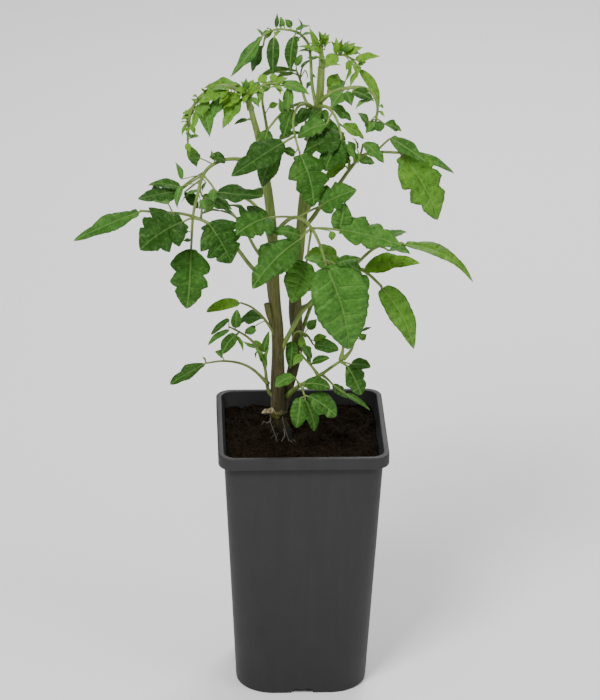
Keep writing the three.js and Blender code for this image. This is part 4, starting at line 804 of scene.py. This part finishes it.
# Materials
class Graph:
    """Short calls for building a material's nodes."""

    def __init__(self, name):
        self.material = bpy.data.materials.new(name)
        self.material.use_nodes = True
        self.tree = self.material.node_tree
        self.tree.nodes.clear()
        self.place = self.node("TexCoord", {}, "Object")

    def node(self, kind, inputs, output=0, **settings):
        """A new node with these sources or plain values on its inputs; gives back one of its outputs."""
        made = self.tree.nodes.new("ShaderNode" + kind)
        for key, value in settings.items():
            setattr(made, key, value)
        for key, source in inputs.items():
            socket = made.inputs[key]
            if isinstance(source, (int, float)):
                socket.default_value = source
            elif isinstance(source, tuple):
                socket.default_value = (*source, 1)[:len(socket.default_value)]
            else:
                self.tree.links.new(source, socket)
        return made.outputs[output] if len(made.outputs) else None

    def value(self, name):
        return self.node("Attribute", {}, "Fac", attribute_name=name)

    def axis(self, name):
        return self.node("SeparateXYZ", {0: self.place}, name)

    def drawn_out(self, scale):
        """Places for marks that are stretched upward."""
        return self.node("Mapping", {"Scale": (1, 1, scale), "Vector": self.place})

    def math(self, operation, a, b=0.0, c=0.0, clamp=False):
        return self.node("Math", {0: a, 1: b, 2: c}, operation=operation, use_clamp=clamp)

    def times(self, a, b):
        return self.math("MULTIPLY", a, b)

    def noise(self, scale, detail=4, rough=0.55, place=None):
        inputs = {"Vector": place or self.place, "Scale": scale, "Detail": detail, "Roughness": rough}
        return self.node("TexNoise", inputs, "Fac")

    def drift(self, source, size, middle=0.0):
        """A noise as a number round a middle, over a range of this size."""
        return self.math("MULTIPLY_ADD", source, size, middle - size / 2)

    def cells(self, scale):
        inputs = {"Vector": self.place, "Scale": scale}
        return self.node("TexVoronoi", inputs, "Distance", feature="DISTANCE_TO_EDGE")

    def band(self, value, low, high, out_low=0.0, out_high=1.0):
        inputs = {"Value": value, "From Min": low, "From Max": high, "To Min": out_low, "To Max": out_high}
        return self.node("MapRange", inputs, "Result", interpolation_type="SMOOTHSTEP")

    def mix(self, share, a, b):
        return self.node("Mix", {0: share, 6: a, 7: b}, 2, data_type="RGBA")

    def bump(self, height, strength, distance):
        inputs = {"Strength": strength, "Distance": distance, "Height": height}
        return self.node("Bump", inputs, "Normal")

    def principled(self, colour, rough, normal=None, specular=0.5):
        inputs = {"Base Color": colour, "Roughness": rough, "Specular IOR Level": specular}
        if normal:
            inputs["Normal"] = normal
        return self.node("BsdfPrincipled", inputs, "BSDF")

    def output(self, shader):
        self.node("OutputMaterial", {"Surface": shader})
        return self.material


YOUNG_VEIN = (0.22, 0.44, 0.06)


def leaf_side(name, tones, dark, pale, through, share_through, vein_strength, rough):
    """One face of a blade: veins by the blade's own measures, mottled between, partly with painted shade and
    painted sheen, some light passing through.
    """
    g = Graph(name)
    # The age value also carries painted light and shade: some blades get a lower or higher age so that they
    # read lighter or darker
    age, spacing = g.value("age"), g.value("spacing")
    across = g.math("ABSOLUTE", g.value("across"))
    phase = g.math("ADD", g.value("vein"), g.drift(g.noise(140, 2), 0.10))
    off = g.times(g.math("PINGPONG", phase, 0.5), spacing)
    fine_off = g.times(g.math("PINGPONG", g.times(phase, 3.0), 0.5), spacing)
    lateral = g.times(g.band(off, 0.1, 0.5, 1.0, 0.0), g.band(spacing, 2.5, 7, 0.35, 0.9))
    midrib = g.band(across, 0.25, 0.78, 1.0, 0.0)
    veins = g.math("MAXIMUM", midrib, g.times(lateral, g.band(across, 1, 18, 1.0, 0.45)))
    finer = g.band(fine_off, 0.08, 0.6, 0.6, 0.0)
    fine = g.math("MAXIMUM", finer, g.band(g.cells(560), 0.0, 0.2, 0.6, 0.0))
    young, middle, mature = tones
    vein_colour = g.mix(g.band(age, 0.0, 0.5), YOUNG_VEIN, pale)
    base = g.mix(g.band(age, 0.0, 0.5), young, middle)
    base = g.mix(g.band(age, 0.5, 1.0), base, mature)
    base = g.mix(g.band(age, 0.95, 1.35, 0.0, 0.6), base, dark)
    # Dark and pale patches, smaller on small blades: the dark ones are partly the leaf's own mottling and
    # partly painted shade, the pale ones are painted sheen
    wide, narrow = g.noise(85, 5, 0.65), g.noise(230, 4, 0.65)
    small = g.band(spacing, 1.5, 5.0, 1.0, 0.0)
    patches = g.math("MULTIPLY_ADD", g.math("SUBTRACT", narrow, wide), small, wide)
    deep = g.times(g.band(patches, 0.42, 0.66), g.band(age, 0.2, 0.65, 0.24, 0.46))
    base = g.mix(deep, base, dark)
    # Painted sheen: pale bluish patches mixed toward the vein colour
    painted_sheen = g.times(g.band(patches, 0.3, 0.5, 0.32, 0.0), g.band(age, 0.4, 1.0, 1.0, 0.4))
    base = g.mix(g.times(painted_sheen, g.band(age, 0.05, 0.45, 0.35, 1.0)), base, vein_colour)
    base = g.mix(g.band(off, 0.4, 2.6, 0.0, 0.25), base, dark)
    base = g.mix(g.band(g.value("edge"), 0.8, 1.0, 0.0, 0.5), base, dark)
    # Fine grain: dark flecks, and pale flecks of painted sheen; then the veins on top
    speck = g.noise(430, 4, 0.72)
    deep = g.times(g.band(speck, 0.36, 0.5, 1.0, 0.0), g.band(age, 0.1, 0.6, 0.55, 0.36))
    base = g.mix(deep, base, dark)
    base = g.mix(g.band(speck, 0.5, 0.68, 0.0, 0.32), base, vein_colour)
    base = g.mix(g.times(fine, 0.16), base, vein_colour)
    strength = g.band(age, 0.75, 1.2, 1.15 * vein_strength, 0.7 * vein_strength)
    coloured = g.mix(g.times(veins, strength), base, vein_colour)
    height = g.math("ADD", g.times(veins, -1.0), g.times(fine, -0.5))
    height = g.math("ADD", height, g.times(g.noise(700, 3, 0.6), 0.8))
    solid = g.principled(coloured, rough, g.bump(height, 0.65, 0.0006), 0.14)
    glow = g.node("BsdfTranslucent", {"Color": g.mix(g.times(veins, 0.35), through, vein_colour)})
    return g.output(g.node("MixShader", {0: share_through, 1: solid, 2: glow}))


def stalk_material():
    """Leaf stalks: yellow green to olive brown, streaked along their length."""
    g = Graph("leaf_stalk")
    streak = g.band(g.noise(220, 4, 0.6), 0.3, 0.7)
    green = g.mix(streak, (0.12, 0.20, 0.035), (0.20, 0.30, 0.06))
    dark = g.mix(streak, (0.06, 0.055, 0.02), (0.12, 0.11, 0.04))
    colour = g.mix(g.math("ADD", g.value("brown"), g.drift(g.noise(60, 2), 0.5), clamp=True), green, dark)
    return g.output(g.principled(colour, 0.55, g.bump(g.noise(1500, 3, 0.6), 0.3, 0.0002), 0.3))


def stem_material():
    """Stems: corky brown low down, olive in the middle and pale green above, with fine lengthwise streaks,
    and painted shade under the graft union.
    """
    g = Graph("stem")
    height = g.axis("Z")
    z = g.math("ADD", height, g.drift(g.noise(45, 3), 0.09))
    bark = g.noise(900, 5, 0.65, place=g.drawn_out(0.08))
    streak = g.band(bark, 0.35, 0.68)
    corky = g.mix(streak, (0.020, 0.017, 0.005), (0.066, 0.055, 0.017))
    olive = g.mix(streak, (0.069, 0.074, 0.013), (0.130, 0.130, 0.028))
    green = g.mix(streak, (0.11, 0.17, 0.025), (0.18, 0.26, 0.055))
    colour = g.mix(g.band(z, 0.195, 0.30), corky, olive)
    colour = g.mix(g.band(z, 0.268, 0.335), colour, green)
    # Painted shade: near black below the graft union, just above the soil
    colour = g.mix(g.band(height, 0.174, 0.188), (0.008, 0.006, 0.0035), colour)
    return g.output(g.principled(colour, 0.6, g.bump(bark, 0.35, 0.0005), 0.3))


def graft_material():
    """The swollen union: olive bark that turns yellow green where the rootstock's stub leaves it."""
    g = Graph("graft")
    patchy = g.noise(320, 4, 0.6)
    mottle = g.band(patchy, 0.35, 0.7)
    bark = g.mix(mottle, (0.022, 0.018, 0.008), (0.06, 0.05, 0.022))
    fresh = g.mix(mottle, (0.05, 0.055, 0.008), (0.13, 0.13, 0.03))
    colour = g.mix(g.band(g.axis("X"), -0.0175, -0.0125), fresh, bark)
    return g.output(g.principled(colour, 0.7, g.bump(patchy, 0.5, 0.0005), 0.2))


def stub_material():
    """The torn end of the rootstock's stub, dry and pale."""
    g = Graph("graft_stub")
    patchy = g.noise(420, 5, 0.7)
    colour = g.mix(g.band(patchy, 0.42, 0.62), (0.07, 0.058, 0.022), (0.38, 0.30, 0.18))
    return g.output(g.principled(colour, 0.8, g.bump(patchy, 0.8, 0.0006)))


def soil_material():
    g = Graph("soil")
    speck = g.noise(520, 6, 0.75)
    colour = g.mix(g.band(speck, 0.42, 0.78), (0.0066, 0.0043, 0.0023), (0.0236, 0.0156, 0.0088))
    warm = g.band(g.noise(210, 4, 0.6), 0.58, 0.78)
    colour = g.mix(g.times(warm, 0.5), colour, (0.039, 0.02, 0.01))
    return g.output(g.principled(colour, 1.0, g.bump(speck, 0.6, 0.001), 0.05))


def pot_material():
    """Anthracite plastic with a fine moulded grain, faint upright flow lines, a little dust and painted shade
    towards the foot.
    """
    g = Graph("pot")
    flow = g.noise(150, 4, 0.6, place=g.drawn_out(0.06))
    dust = g.band(g.noise(38, 6, 0.7), 0.5, 0.8)
    colour = g.mix(g.band(flow, 0.3, 0.7), (0.0275, 0.027, 0.0272), (0.0305, 0.030, 0.0305))
    # Painted shade: darker towards the foot
    colour = g.mix(g.band(g.axis("Z"), 0.0, 0.15, 0.5, 0.0), colour, (0.019, 0.019, 0.019))
    colour = g.mix(g.times(dust, 0.25), colour, (0.042, 0.041, 0.042))
    rough = g.drift(g.noise(90, 4), 0.14, 0.57)
    return g.output(g.principled(colour, rough, g.bump(g.noise(2600, 3, 0.6), 0.16, 0.00012), 0.2))


def plain_material(name, scale, detail, colours, rough, specular=0.5):
    """A surface that wavers between two colours."""
    g = Graph(name)
    return g.output(g.principled(g.mix(g.noise(scale, detail), *colours), rough, specular=specular))


# Handing a finished piece over
def dress(piece, node):
    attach(piece, "root")
    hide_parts(node)


# Pot
def square_ring(width, radius, z):
    """Points round a square with round corners, with an even count of steps along sides and corners."""
    straight = width / 2 - radius
    quarter = []
    for k in range(SIDE_STEPS + 1):
        quarter.append((width / 2, straight * (2 * k / SIDE_STEPS - 1)))
    for k in range(1, CORNER_STEPS):
        angle = math.pi / 2 * k / CORNER_STEPS
        quarter.append((straight + radius * math.cos(angle), straight + radius * math.sin(angle)))
    ring = []
    for c, s in ((1, 0), (0, 1), (-1, 0), (0, -1)):
        ring += [(x * c - y * s, x * s + y * c, z) for x, y in quarter]
    return np.array(ring)


def body_size(z):
    """Width and corner radius of the pot's body at a height."""
    share = min(1, z / LIP_FOOT)
    width = BODY_FOOT_WIDTH + (BODY_TOP_WIDTH - BODY_FOOT_WIDTH) * share
    return width, BODY_FOOT_RADIUS + (BODY_TOP_RADIUS - BODY_FOOT_RADIUS) * share


def body_ring(z, inset):
    width, radius = body_size(z)
    return square_ring(width - 2 * inset, max(1, radius - inset), z)


def notch_lift(ring):
    """Raises the foot's edge over the notch in the middle of each side."""
    off = np.abs(ring[:, :2]).min(axis=1)
    lift = np.clip((NOTCH_WIDTH / 2 + NOTCH_FLARE - off) / NOTCH_FLARE, 0, 1) * NOTCH_HEIGHT
    return np.column_stack([ring[:, :2], np.maximum(ring[:, 2], lift)])


def rim_ring(inset, z):
    return square_ring(POT_WIDTH - 2 * inset, RIM_RADIUS - inset, z)


def rounding(radius):
    """Inset and drop along a rounded edge, from its upright side to its flat side."""
    turns = math.pi / 2 * np.arange(EDGE_STEPS + 1) / EDGE_STEPS
    return [(radius * (1 - math.cos(turn)), radius * (1 - math.sin(turn))) for turn in turns]


def build_pot(material):
    rings = [body_ring(FOOT_DEPTH, WALL)] + [notch_lift(body_ring(*edge)) for edge in FOOT_EDGE]
    rings += [body_ring(z, 0) for z in OUTER_HEIGHTS]
    flare = 1 - LIP_HOLLOW / LIP_HEIGHT
    hollow_top = BODY_TOP_WIDTH + (MOUTH_WIDTH + 2 * WALL - BODY_TOP_WIDTH) * flare
    hollow = POT_HEIGHT - LIP_HOLLOW
    rings += [square_ring(hollow_top, MOUTH_RADIUS, hollow), rim_ring(LIP_THICKNESS, hollow)]
    rings += [rim_ring(LIP_THICKNESS, LIP_FOOT + LIP_BEVEL), rim_ring(LIP_THICKNESS - LIP_BEVEL, LIP_FOOT)]
    rings += [rim_ring(inset, LIP_FOOT + drop) for inset, drop in rounding(LIP_EDGE)[::-1]]
    rings += [rim_ring(0, LIP_FOOT + 3), rim_ring(0, POT_HEIGHT - 2.2)]
    rings += [rim_ring(inset, POT_HEIGHT - drop) for inset, drop in rounding(LIP_EDGE)]
    rings += [rim_ring(RIM_FLAT, POT_HEIGHT)]
    rings += [square_ring(MOUTH_WIDTH + 2 * wider, MOUTH_RADIUS, POT_HEIGHT - drop)
              for drop, wider in rounding(MOUTH_EDGE)]
    rings += [body_ring(z, WALL) for z in (LIP_FOOT, SOIL_TOP - 12, 90, FLOOR_TOP)]
    piece = Piece()
    piece.add(np.vstack(rings), ring_faces(len(rings), len(rings[0]), False))
    add_floor(piece, rings[0], rings[-1])
    return piece.finish("pot_shell", [material])


def at_height(points, z):
    return np.column_stack([points, np.full(len(points), z)])


def circle(angle):
    return np.column_stack([np.cos(angle), np.sin(angle)])


def add_floor(piece, below, above):
    """Closes the shell with a floor that has four drain holes, and sets the pad and ribs under it."""
    piece.flat_from = len(piece.faces)
    last = piece.count - len(above)
    ring = DRAIN_RADIUS * circle(np.linspace(0, 2 * np.pi, DRAIN_SIDES, endpoint=False))
    centres = DRAIN_OFFSET * np.array([[0, 1], [1, 0], [0, -1], [-1, 0]])
    holes = np.vstack([ring + centre for centre in centres])
    lower, upper = piece.count, piece.count + len(holes)
    for z in (FOOT_DEPTH, FLOOR_TOP):
        piece.add(at_height(holes, z), [])
    faces = []
    for outline, first_outer, first_hole, way in ((below, 0, lower, -1), (above, last, upper, 1)):
        flat = np.vstack([outline[:, :2], holes])
        loops = [np.arange(len(outline))]
        loops += [len(outline) + k * DRAIN_SIDES + np.arange(DRAIN_SIDES) for k in range(4)]
        edges = [(int(a), int(b)) for loop in loops for a, b in zip(loop, np.roll(loop, -1))]
        corners = [Vector(point) for point in flat.tolist()]
        triangles = np.array(geometry.delaunay_2d_cdt(corners, edges, [], 1, 1e-6)[2])
        middle = flat[triangles].mean(axis=1)
        apart = np.linalg.norm(middle[:, None] - centres[None], axis=2).min(axis=1)
        triangles = triangles[apart > DRAIN_RADIUS]
        number = np.concatenate([first_outer + np.arange(len(outline)), first_hole + np.arange(len(holes))])
        faces += number[triangles][:, ::way].tolist()
    for k in range(4):
        for i in range(DRAIN_SIDES):
            a, b = k * DRAIN_SIDES + i, k * DRAIN_SIDES + (i + 1) % DRAIN_SIDES
            faces.append([lower + a, upper + a, upper + b, lower + b])
    piece.faces += faces
    piece.marks += [0] * len(faces)
    add_prism(piece, 2 * np.pi * np.arange(PAD_SIDES) / PAD_SIDES, PAD_RADIUS)
    across = math.atan2(RIB_WIDTH, RIB_SPAN)
    for turn in (math.pi / 4, 3 * math.pi / 4):
        angles = turn + np.array([-across, across, math.pi - across, math.pi + across])
        add_prism(piece, angles, math.hypot(RIB_SPAN, RIB_WIDTH) / 2)


def add_prism(piece, angle, reach):
    """An upright prism under the floor, with its corners at these angles round the middle."""
    rings = [at_height(reach * circle(angle), z) for z in (0, FLOOR_TOP - SUPPORT_DROP)]
    piece.add(np.vstack(rings), ring_faces(2, len(angle)))


# Soil
def soil_height(x, y, tables):
    """Lumpy surface: broad swells, clods and crumbs."""
    fine = np.zeros_like(x)
    for spacing, height, table in tables:
        u, v = x / spacing + GRAIN_MIDDLE, y / spacing + GRAIN_MIDDLE
        i, j = u.astype(int), v.astype(int)
        f, h = u - i, v - j
        f, h = f * f * (3 - 2 * f), h * h * (3 - 2 * h)
        value = (table[i, j] * (1 - f) * (1 - h) + table[i + 1, j] * f * (1 - h)
                 + table[i, j + 1] * (1 - f) * h + table[i + 1, j + 1] * f * h)
        fine = fine + height * value
    lump = SOIL_LUMP * (np.sin(x * 0.21 + 1.3) * np.cos(y * 0.17 - 0.4)
                        + 0.5 * np.sin(x * 0.43 - y * 0.37) + 0.35 * np.cos(x * 0.13 + y * 0.51 + 2))
    return SOIL_TOP + lump + fine


def inside_pot(x, y, inset):
    """How far a point lies inside the pot's wall at the soil's surface."""
    width, radius = body_size(SOIL_TOP)
    radius = radius - WALL
    straight = width / 2 - WALL - inset - radius
    return radius - np.hypot(np.maximum(np.abs(x) - straight, 0), np.maximum(np.abs(y) - straight, 0))


def build_soil(materials, rng):
    tables = [(spacing, height, rng.uniform(-1, 1, (count, count))) for spacing, height, count in SOIL_GRAINS]
    outline = body_ring(SOIL_TOP, WALL + SOIL_GAP)
    rings = [body_ring(z, WALL + SOIL_GAP) for z in (FLOOR_TOP + 0.4, 80, SOIL_TOP - 5)]
    for share in np.linspace(1, 0.008, SOIL_RINGS):
        x, y = outline[:, 0] * share, outline[:, 1] * share
        z = soil_height(x, y, tables) - SOIL_EDGE_DROP * share**14
        rings.append(np.column_stack([x, y, z]))
    piece = Piece()
    piece.add(np.vstack(rings), ring_faces(len(rings), len(outline)), SOIL)
    add_crumbs(piece, tables, rng)
    add_fibres(piece, tables, rng)
    return piece.finish("soil_fill", materials)


# A crumb has a top, two rings of five corners and a foot
CRUMB_VERTS = [
    [0, 0, 1],
    [0.95, 0, 0.3], [0.3, 0.9, 0.3], [-0.77, 0.56, 0.3], [-0.77, -0.56, 0.3], [0.3, -0.9, 0.3],
    [0.75, 0.55, -0.4], [-0.3, 0.9, -0.4], [-0.95, 0, -0.4], [-0.3, -0.9, -0.4], [0.75, -0.55, -0.4],
    [0, 0, -0.9],
]
CRUMB_FACES = [[0, 1 + k, 1 + (k + 1) % 5] for k in range(5)]
CRUMB_FACES += [[1 + k, 6 + k, 1 + (k + 1) % 5] for k in range(5)]
CRUMB_FACES += [[1 + k, 6 + (k - 1) % 5, 6 + k] for k in range(5)]
CRUMB_FACES += [[6 + k, 11, 6 + (k + 1) % 5] for k in range(5)]


def scatter_on_soil(count, inset, tables, rng):
    found = np.empty((0, 2))
    while len(found) < count:
        tried = rng.uniform(-POT_WIDTH / 2, POT_WIDTH / 2, (count, 2))
        found = np.vstack([found, tried[inside_pot(tried[:, 0], tried[:, 1], inset) > 0]])
    found = found[:count]
    return np.column_stack([found, soil_height(found[:, 0], found[:, 1], tables)])


def add_crumbs(piece, tables, rng):
    """Clods and grains of compost, half sunk in the surface."""
    smallest, larger = CRUMB_SIZE
    for place in scatter_on_soil(CRUMBS, CRUMB_INSET, tables, rng):
        size = smallest + larger * rng.uniform() ** 4
        shape = CRUMB_VERTS * rng.uniform(*CRUMB_STRETCH, (12, 1)) * size * rng.uniform(*CRUMB_STRETCH, 3)
        turn = rng.uniform(0, 2 * np.pi)
        c, s = np.cos(turn), np.sin(turn)
        shape = shape @ np.array([[c, -s, 0], [s, c, 0], [0, 0, 1]])
        piece.add(shape + place + [0, 0, size * 0.1], CRUMB_FACES, SOIL)


def add_fibres(piece, tables, rng):
    """Brown fibres lying on the compost."""
    s = np.linspace(-0.5, 0.5, FIBRE_POINTS)
    for place in scatter_on_soil(FIBRES, FIBRE_INSET, tables, rng):
        length = rng.uniform(*FIBRE_LENGTH)
        heading = rng.uniform(0, 2 * np.pi)
        way = heading + rng.uniform(-FIBRE_BEND, FIBRE_BEND) * s
        x, y = place[0] + length * s * np.cos(way), place[1] + length * s * np.sin(way)
        z = soil_height(x, y, tables) + FIBRE_LIFT + FIBRE_TILT * rng.uniform() * (s + 0.5)
        if inside_pot(x, y, 0.8).min() > 0:
            radius = np.full(FIBRE_POINTS, rng.uniform(*FIBRE_RADIUS))
            add_tube(piece, np.column_stack([x, y, z]), radius, 4, FIBRE)


# Stems
def add_stem(piece, points, rng):
    nodes = spline(points)
    total = lengths(nodes)[-1]
    share = np.linspace(0, 1, int(total / STEM_STEP))
    line = at_share(nodes, share)
    swell = 1 + 0.05 * np.sin(share * total / 17 + rng.uniform(0, 6)) + 0.03 * np.sin(share * total / 5.3)
    radius = line[:, 3] * swell
    add_tube(piece, line[:, :3], radius, STEM_SIDES, STEM, **STEM_RIBS)
    add_hairs(piece, line[:, :3], radius, int(total * STEM_HAIRS), STEM_HAIR, STEM_HAIR_LENGTH, rng)


def build_stems(materials, rng):
    piece = Piece()
    add_stem(piece, STEM_LEFT, rng)
    add_stem(piece, STEM_RIGHT, rng)
    add_graft(piece)
    add_roots(piece, rng)
    add_cut_stub(piece)
    return piece.finish("stem_pair", materials)


def add_cut_stub(piece):
    """The pruned end of a branch: a short tube with a rounded edge and a slightly sunken cut face."""
    nodes = evenly(CUT_STUB, 16)
    line, radius = nodes[:, :3], nodes[:, 3] * (1 + 0.05 * np.sin(np.linspace(0, 11, 16)))
    end, way = line[-1], unit(line[-1] - line[-3])
    line = np.vstack([line, [end + way * step for step, _ in STUB_CUT]])
    radius = np.concatenate([radius, [radius[-1] * share for _, share in STUB_CUT]])
    add_tube(piece, line, radius, 20, STEM, ribs=0.03, rib_count=5)


def add_graft(piece):
    """The knobbly graft union, and the stub of the rootstock that is cut off there."""
    u = np.linspace(0.02, np.pi - 0.02, GRAFT_RINGS)
    v = np.linspace(0, 2 * np.pi, GRAFT_SIDES, endpoint=False)
    U, V = np.meshgrid(u, v, indexing="ij")
    knob = 1 + 0.10 * np.sin(3 * V + 2 * U) * np.sin(U) + 0.07 * np.sin(5 * V - 3 * U) + 0.05 * np.cos(7 * U)
    ball = np.stack([np.sin(U) * np.cos(V), np.sin(U) * np.sin(V), -np.cos(U)], -1) * knob[..., None]
    piece.add((ball * GRAFT_SIZE + GRAFT_AT).reshape(-1, 3), ring_faces(GRAFT_RINGS, GRAFT_SIDES), GRAFT)
    line = evenly(GRAFT_STUB, 20)
    radius = line[:, 3] * (1 + 0.16 * np.sin(np.linspace(0, 17, 20)))
    add_tube(piece, line[:, :3], radius, 14, STUB, ribs=0.14, rib_count=4)


def add_roots(piece, rng):
    """The pale rootlets that hang from the graft, and finer root threads from the stem's foot."""
    for points in ROOTLETS:
        add_tube(piece, evenly(points, 24, 8), ROOTLET_RADIUS * np.linspace(1, 0.5, 24), 6, ROOTLET)
    x, _, z, _ = np.array(STEM_LEFT[:4]).T
    for _ in range(ROOT_THREADS):
        angle = rng.uniform(0, 2 * np.pi)
        height = rng.uniform(*THREAD_FOOT)
        centre = np.array([np.interp(height, z, x), -6, height])
        out = np.array([np.cos(angle), np.sin(angle), 0])
        reach = rng.uniform(*THREAD_REACH)
        bend = centre + out * (5 + reach * 0.4) + [0, 0, -1.2]
        points = [centre + out * 4, bend, centre + out * (4.6 + reach) + [0, 0, -reach]]
        radius = np.linspace(*THREAD_RADII, THREAD_POINTS)
        add_tube(piece, evenly(points, THREAD_POINTS, 5), radius, 5, ROOTLET)


# Leaves
def add_sprig(piece, stalk, girth, share, base, tip, width, age, rng):
    """One of the smallest leaflets: a folded young blade on a thread of a stalk."""
    root = at_share(stalk, [share])[0]
    face = unit(rng.normal(size=3) * SPRIG_TURN + TOWARDS_VIEWER)
    base, tip = np.array(base, float), np.array(tip, float)
    add_blade(piece, root, base, tip, width * SPRIG_WIDENED, 0, SPRIG_ARCH, 0, face, SLENDER, age,
              USUAL_BROWN, min(SPRIG_STALK, girth * 0.4), rng)


def add_tuft(piece, fronds, age, rng):
    """Crowded crinkled leaflets along the youngest fronds, on the sides that face the viewer and the back."""
    for frond in fronds:
        stalk = spline(frond.stalk)
        for _ in range(int(lengths(stalk)[-1] / TUFT_PITCH)):
            share = rng.uniform(TUFT_FROM, 1)
            way = unit(rng.normal(size=3) * [0.6, 0.5, 0.6] + [0, rng.choice(TUFT_SIDES), 0.1])
            base = at_share(stalk, [share])[0] + way * rng.uniform(*TUFT_STALK)
            tip = base + way * rng.uniform(*TUFT_LENGTH) + [0, 0, rng.uniform(-3, 2)]
            young = age + rng.uniform(-0.25, 0.3)
            width = rng.uniform(*TUFT_WIDTH)
            add_sprig(piece, stalk, frond.girth, share, base, tip, width, young, rng)


def build_leaf(index, name, fronds, materials):
    rng = np.random.default_rng(LEAF_SEED + index)
    piece = Piece()
    age = BLADE_AGE_AND_LIGHT.get(name, BACK_LEAF_AGE)
    for k, frond in enumerate(fronds):
        own_age_and_light = {blade: own for (which, blade), own in OWN_AGE_AND_LIGHT.get(name, {}).items() if which == k}
        add_frond(piece, frond, age, own_age_and_light, STALK_BROWN.get(name, USUAL_BROWN), rng)
    for frond in fronds:
        for sprig in frond.sprigs:
            add_sprig(piece, spline(frond.stalk), frond.girth, *sprig, age * SPRIG_AGE, rng)
    if name in TUFTS:
        add_tuft(piece, fronds, TUFTS[name], np.random.default_rng(TUFT_SEED + index))
    dress(piece.finish(name + "_fine", materials), name)


# Stage, light and camera
FLOOR_SIZE = 4
SKY_STRENGTH = 0.42
LIGHT_AIM = Vector((0, 0, 0.25))
# Place, size and power of each light, in metres and watts
LIGHTS = {
    "key": ((-0.65, -1.2, 1.8), 0.6, 42),
    "fill": ((1.3, -0.9, 1.0), 1.0, 10),
    "back": ((0.3, 1.3, 1.3), 0.8, 22),
}


def place_camera():
    azimuth, elevation = math.radians(CAMERA_AZIMUTH), math.radians(CAMERA_ELEVATION)
    level = math.cos(elevation)
    back = Vector((math.sin(azimuth) * level, -math.cos(azimuth) * level, math.sin(elevation)))
    right = Vector((math.cos(azimuth), math.sin(azimuth), 0))
    up = back.cross(right)
    roll = math.radians(CAMERA_ROLL)
    right, up = right * math.cos(roll) + up * math.sin(roll), up * math.cos(roll) - right * math.sin(roll)
    data = bpy.data.cameras.new("camera")
    data.sensor_fit = "VERTICAL"
    data.sensor_height = SENSOR
    data.lens = SENSOR * FOCAL_PX / FRAME_HEIGHT_PX
    camera = put("camera", data)
    place = (Vector(CAMERA_TARGET) + back * CAMERA_DISTANCE) * MM
    camera.matrix_world = Matrix.Translation(place) @ Matrix((right, up, back)).transposed().to_4x4()
    bpy.context.scene.camera = camera


def build_stage():
    mesh = bpy.data.meshes.new("floor")
    corners = [(x * FLOOR_SIZE, y * FLOOR_SIZE, 0) for x, y in ((-1, -1), (1, -1), (1, 1), (-1, 1))]
    mesh.from_pydata(corners, [], [(0, 1, 2, 3)])
    mesh.materials.append(plain_material("floor", 3, 2, ((0.86, 0.86, 0.86), (0.88, 0.88, 0.88)), 0.9))
    put("floor", mesh)
    world = bpy.data.worlds.new("world")
    world.use_nodes = True
    world.node_tree.nodes["Background"].inputs["Color"].default_value = (1, 1, 1, 1)
    world.node_tree.nodes["Background"].inputs["Strength"].default_value = SKY_STRENGTH
    bpy.context.scene.world = world
    for name, (place, size, power) in LIGHTS.items():
        data = bpy.data.lights.new(name, "AREA")
        data.size = size
        data.energy = power
        light = put(name, data)
        light.location = place
        light.rotation_euler = (LIGHT_AIM - Vector(place)).to_track_quat("-Z", "Y").to_euler()


place_camera()
build_stage()

upper = leaf_side("leaf_upper", ((0.19, 0.42, 0.024), (0.08, 0.24, 0.03), (0.024, 0.09, 0.004)),
                  dark=(0.008, 0.042, 0.002), pale=(0.18, 0.36, 0.085), through=(0.20, 0.52, 0.02),
                  share_through=0.2, vein_strength=0.5, rough=0.5)
under = leaf_side("leaf_under", ((0.20, 0.37, 0.05), (0.12, 0.26, 0.04), (0.07, 0.16, 0.025)),
                  dark=(0.03, 0.09, 0.01), pale=(0.22, 0.36, 0.08), through=(0.22, 0.52, 0.015),
                  share_through=0.24, vein_strength=0.5, rough=0.6)
hair = plain_material("hair", 300, 1, ((0.22, 0.28, 0.10), (0.36, 0.42, 0.2)), 0.6)
rootlet = plain_material("rootlet", 500, 3, ((0.042, 0.034, 0.023), (0.15, 0.128, 0.095)), 0.7)
fibre = plain_material("fibre", 260, 2, ((0.012, 0.0065, 0.0032), (0.036, 0.021, 0.011)), 0.9, 0.1)

dress(build_pot(pot_material()), "pot")
dress(build_soil([soil_material(), fibre], np.random.default_rng(SOIL_SEED)), "soil")
stem_finishes = [stem_material(), hair, stub_material(), rootlet, graft_material()]
dress(build_stems(stem_finishes, np.random.default_rng(STEM_SEED)), "stems")
leaf_finishes = [upper, under, stalk_material(), hair]
for number, (leaf_name, leaf_fronds) in enumerate(LEAVES.items()):
    build_leaf(number, leaf_name, leaf_fronds, leaf_finishes)
